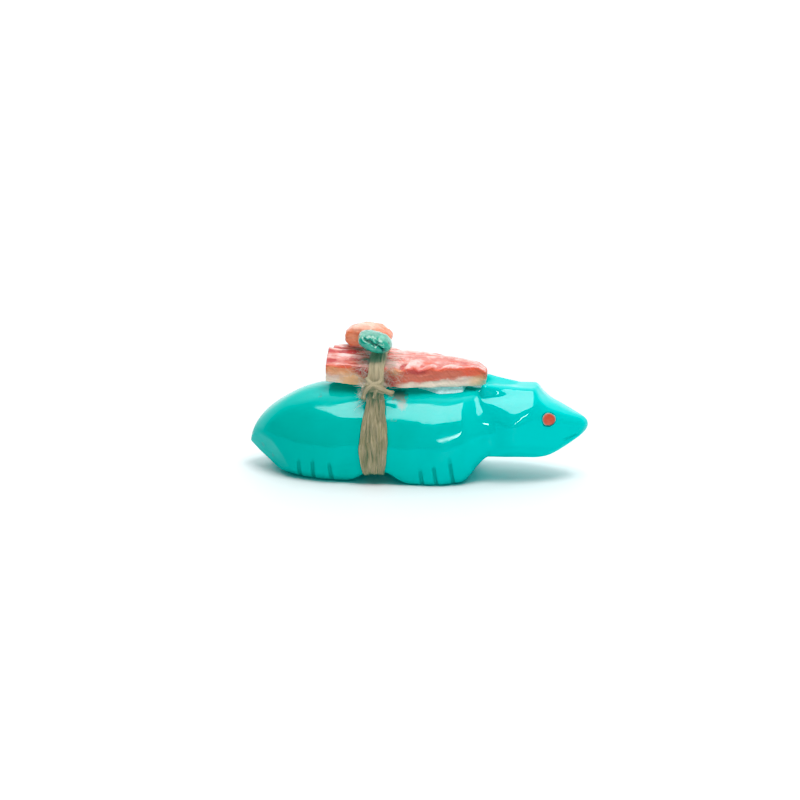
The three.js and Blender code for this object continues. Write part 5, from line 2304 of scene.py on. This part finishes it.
@dataclass(frozen=True)
class Lamp:
    """Flat lamp, seen in the polish or not."""

    name: str
    place: Triple
    size: Pair
    watts: float
    spin: float = 0.0
    in_polish: bool = False

    def build(self, aim: Vector) -> None:
        """Hangs the lamp so that it faces a point.

        Args:
            aim: Point that it faces.
        """
        data = bpy.data.lights.new(self.name, "AREA")
        data.shape = "RECTANGLE"
        data.size, data.size_y, data.energy = *self.size, self.watts
        lamp = added(self.name, data)
        turn_to(lamp, self.place, aim, self.spin)
        lamp.visible_glossy = self.in_polish


@dataclass(frozen=True)
class Studio:
    """White table and surroundings, two soft lamps, a small strip lamp and a card seen in the polish."""

    target: Triple = (-0.00363, 0.00327, 0.01136)
    azimuth: float = 7.0
    elevation: float = 18.0
    distance: float = 0.9
    lens: float = 236.8
    clip: Pair = (0.01, 20.0)
    aim: Triple = (0.0, 0.0, 0.01)
    lamps: tuple[Lamp, ...] = (
        Lamp("front fill", (0.0, -0.6, 0.15), (0.3, 0.2), 0.5),
        Lamp("top light", (0.1, -0.07, 0.47), (0.24, 0.24), 1.45),
        Lamp("strip lamp", (0.123, -0.496, 0.151), (0.165, 0.022), 0.22, spin=38.0, in_polish=True),
    )
    table_reach: float = 2.5
    table_sides: int = 64
    table_colour: Colour = (0.82, 0.84, 0.85)
    table_lit: Pair = (0.045, 0.25)
    table_glow: float = 0.3
    card_place: Triple = (-0.04, -0.36, 0.46)
    card_corners: tuple[Pair, ...] = ((-0.02, -0.172), (0.235, -0.172), (0.23, 0.3), (-0.3, 0.3))
    card_spin: float = 18.0
    card_glow: float = 5.3
    behind: Pair = (-0.12, 0.3)
    behind_light: float = 1.4
    overhead: Pair = (0.6, 0.95)
    overhead_light: float = 1.2
    right: Pair = (0.3, 0.9)
    right_light: float = 0.2
    room_light: float = 0.04
    room_tint: Colour = (0.9, 0.98, 1.0)
    diffuse_share: float = 0.66
    seen_light: float = 1.2
    red_curve: tuple[Pair, ...] = ((0.05, 0.0), (0.3, 0.28))

    def build(self) -> None:
        """Makes the table, the lights and the camera."""
        self.table()
        self.backdrop()
        self.camera()
        for lamp in self.lamps:
            lamp.build(Vector(self.aim))
        self.bright_card()
        self.grade()

    @staticmethod
    def stage_piece(
        name: str, paint_name: str, points: Sequence[Triple], **plain: object
    ) -> tuple[bpy.types.Object, Graph]:
        """Makes one flat piece of the studio that isn't part of the carving.

        Args:
            name: Name of the piece.
            paint_name: Name of its material.
            points: Its corners, in metres.
            plain: Uniform values of its surface.

        Returns:
            The piece, and the nodes of its material.
        """
        mesh = bpy.data.meshes.new(name)
        mesh.from_pydata(points, [], [tuple(range(len(points)))])
        piece = added(name, mesh)
        paint, graph = new_material(paint_name)
        graph.plain(**plain)
        mesh.materials.append(paint)
        return piece, graph

    def bright_card(self) -> None:
        """Glowing card, no lamp, seen in the polish alone, with one slanted side: a painted reflection of a
        bright surface.
        """
        black, white = (0, 0, 0, 1), (1, 1, 1, 1)
        corners = [(u, v, 0.0) for u, v in self.card_corners]
        glow = {"Base_Color": black, "Emission_Color": white, "Emission_Strength": self.card_glow}
        card, _ = self.stage_piece("bright_card", "bright card", corners, **glow)
        turn_to(card, self.card_place, Vector(self.aim), self.card_spin)
        card.visible_diffuse = card.visible_shadow = card.visible_camera = False

    def grade(self) -> None:
        """Colour curve of the photograph: the faintest red is lost in the turquoise."""
        view = bpy.context.scene.view_settings
        view.use_curve_mapping = True
        for place, value in self.red_curve:
            view.curve_mapping.curves[0].points.new(place, value)
        view.curve_mapping.update()

    def table(self) -> None:
        """White table top that is lit by itself far behind the carving."""
        turn = full_turn(self.table_sides)
        ring = np.stack([np.cos(turn), np.sin(turn), 0 * turn], -1) * self.table_reach
        plain = {"Base_Color": (*self.table_colour, 1), "Roughness": 0.5, "Specular_IOR_Level": 0.3}
        plain["Emission_Color"] = (1, 1, 1, 1)
        _, graph = self.stage_piece("table_top", "white table", ring.tolist(), **plain)
        away = graph.add("SeparateXYZ", {0: graph.add("TexCoord").outputs["Object"]}).outputs["Y"]
        glow = graph.times(graph.rise(away, *self.table_lit), self.table_glow)
        graph.feed(graph.surface.inputs["Emission Strength"], glow)

    def backdrop(self) -> None:
        """White surroundings behind and above, a dim room on the camera's side."""
        world = bpy.data.worlds.new("white studio")
        bpy.context.scene.world = world
        world.use_nodes = True
        graph = Graph(world.node_tree)
        world.node_tree.nodes.clear()
        way = graph.add("SeparateXYZ", {0: graph.add("TexCoord").outputs["Generated"]})
        behind = graph.rise(way.outputs["Y"], *self.behind)
        overhead = graph.rise(way.outputs["Z"], *self.overhead)
        light = graph.plus(graph.times(behind, self.behind_light), graph.times(overhead, self.overhead_light))
        right = graph.rise(way.outputs["X"], *self.right)
        light = graph.plus(graph.plus(light, graph.times(right, self.right_light)), self.room_light)
        path = graph.add("LightPath").outputs
        light = graph.times(light, graph.spread(path["Is Diffuse Ray"], 1.0, self.diffuse_share))
        seen = path["Is Camera Ray"]
        tone = graph.mix(seen, self.room_tint, (1.0, 1.0, 1.0))
        strength = graph.add("Mix", {0: seen, 2: light, 3: self.seen_light}, data_type="FLOAT").outputs[0]
        glow = graph.add("Background", {"Color": tone, "Strength": strength}).outputs[0]
        graph.add("OutputWorld", {"Surface": glow})

    def camera(self) -> None:
        """Camera at the photograph's viewing angle."""
        a, e = math.radians(self.azimuth), math.radians(self.elevation)
        back = Vector((math.sin(a) * math.cos(e), -math.cos(a) * math.cos(e), math.sin(e)))
        data = bpy.data.cameras.new("camera")
        data.lens, data.sensor_width = self.lens, 36.0
        data.clip_start, data.clip_end = self.clip
        camera = added("camera", data)
        camera.location = Vector(self.target) + back * self.distance
        camera.rotation_mode = "QUATERNION"
        camera.rotation_quaternion = (-back).to_track_quat("-Z", "Y")
        bpy.context.scene.camera = camera


CHIP_FACETS = (
    ((1, 0, -0.1), 0.97), ((-1, 0, 0.05), 0.95), ((0, 1, 0), 1), ((0, -1, 0.1), 1),
    ((0, 0, -1), 1), ((0.05, 0, 1), 0.95), ((-0.75, 0.1, 0.7), 0.92), ((0.75, 0, 0.62), 0.9),
    ((-0.8, 0, -0.6), 1.1), ((0.4, -0.6, 0.65), 1.05), ((0.35, 0, -0.94), 0.76),
)
NUGGET_FACETS = (
    ((1, 0, 0), 0.97), ((-1, 0, 0), 1), ((0, 1, 0), 1), ((0, -1, 0), 0.95), ((0, 0, 1), 1),
    ((0, 0, -1), 1), ((0.7, -0.2, 0.7), 1.1), ((-0.7, -0.3, 0.65), 1.12), ((0.6, -0.3, -0.75), 1.12),
    ((-0.65, -0.2, -0.75), 1.1), ((0.2, -0.85, 0.5), 1.02),
)


@dataclass(frozen=True)
class Cleft:
    """The nugget's one slanting cleft, with a few pits along it."""

    slope: float = 0.5
    height: float = 0.25
    waver: float = 0.2
    middle: float = 0.2
    reach: Pair = (2.4, 1.4)
    near_side: Pair = (-0.2, -0.7)
    line: Pair = (0.2, 0.36)
    pits: Pair = (0.6, 0.3)
    pit_levels: Pair = (0.3, 0.9)

    def sink(self, points: Array) -> Array:
        """Points of the nugget, pushed in along the cleft.

        Args:
            points: Points of the nugget.

        Returns:
            The points with the cleft.
        """
        middle = (points.max(0) + points.min(0)) / 2
        x, y, z = (points - middle).T
        (line_width, line_depth), (pit_width, pit_depth) = self.line, self.pits
        beside = z + self.slope * x - self.height - self.waver * Ripple(81, 1, 4, 2.4)(x)
        reach = smooth_step(*self.reach, np.abs(x - self.middle)) * smooth_step(*self.near_side, y)
        line = np.exp(-((beside / line_width) ** 2))
        pits = np.exp(-((beside / pit_width) ** 2))
        pits = pits * smooth_step(*self.pit_levels, Ripple(82, 3, 8, 1.2)(x, y, z))
        return points + unit(-(points - middle)) * (reach * (line_depth * line + pit_depth * pits))[:, None]


def main() -> None:
    """Builds every piece, then the studio."""
    logging.basicConfig(level=logging.INFO, format="%(message)s")
    bpy.context.scene.view_settings.view_transform = "Standard"
    Studio().build()
    low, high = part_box("shell_slab")
    slab = ShellSlab(tip_x=high.x / MM, bottom=low.z / MM)
    body = CarvedBody()
    body.build(Turquoise())
    rim = GlueRim()
    for side in (-1, 1):
        InlaidEye(body, side).build(Coral(name="eye coral"), rim)
    slab.build(Shell())
    chip = Pebble(
        node="coral_chip", name="coral_chip_waxy", size=(8.0, 4.2, 3.6), facets=CHIP_FACETS,
        crispness=7.0, tilt=3.0, lump=0.06, pit=0.05, seed=51,
    )
    chip.build(
        Coral(
            name="salmon coral", main=(0.72, 0.16, 0.065), pale=(0.80, 0.30, 0.16), dark=(0.55, 0.08, 0.03),
            streak_stretch=(0.45, 1.0, 1.5), lit_top_heights=(24.5, 26.2),
        ),
        "coral",
    )
    nugget = Pebble(
        node="turquoise_nugget", name="nugget_matrixed", size=(6.0, 3.7, 3.4), facets=NUGGET_FACETS,
        crispness=3.3, tilt=15.0, lump=0.045, pit=0.02, seed=71,
    )
    nugget.build(Nugget(), "nugget", Cleft().sink)
    SinewTie(body.form, slab).build(Sinew(), LooseFibre())
    GlueWedge(body.form, slab).build(ClearGlue())
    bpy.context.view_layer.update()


if __name__ == "__main__":
    main()
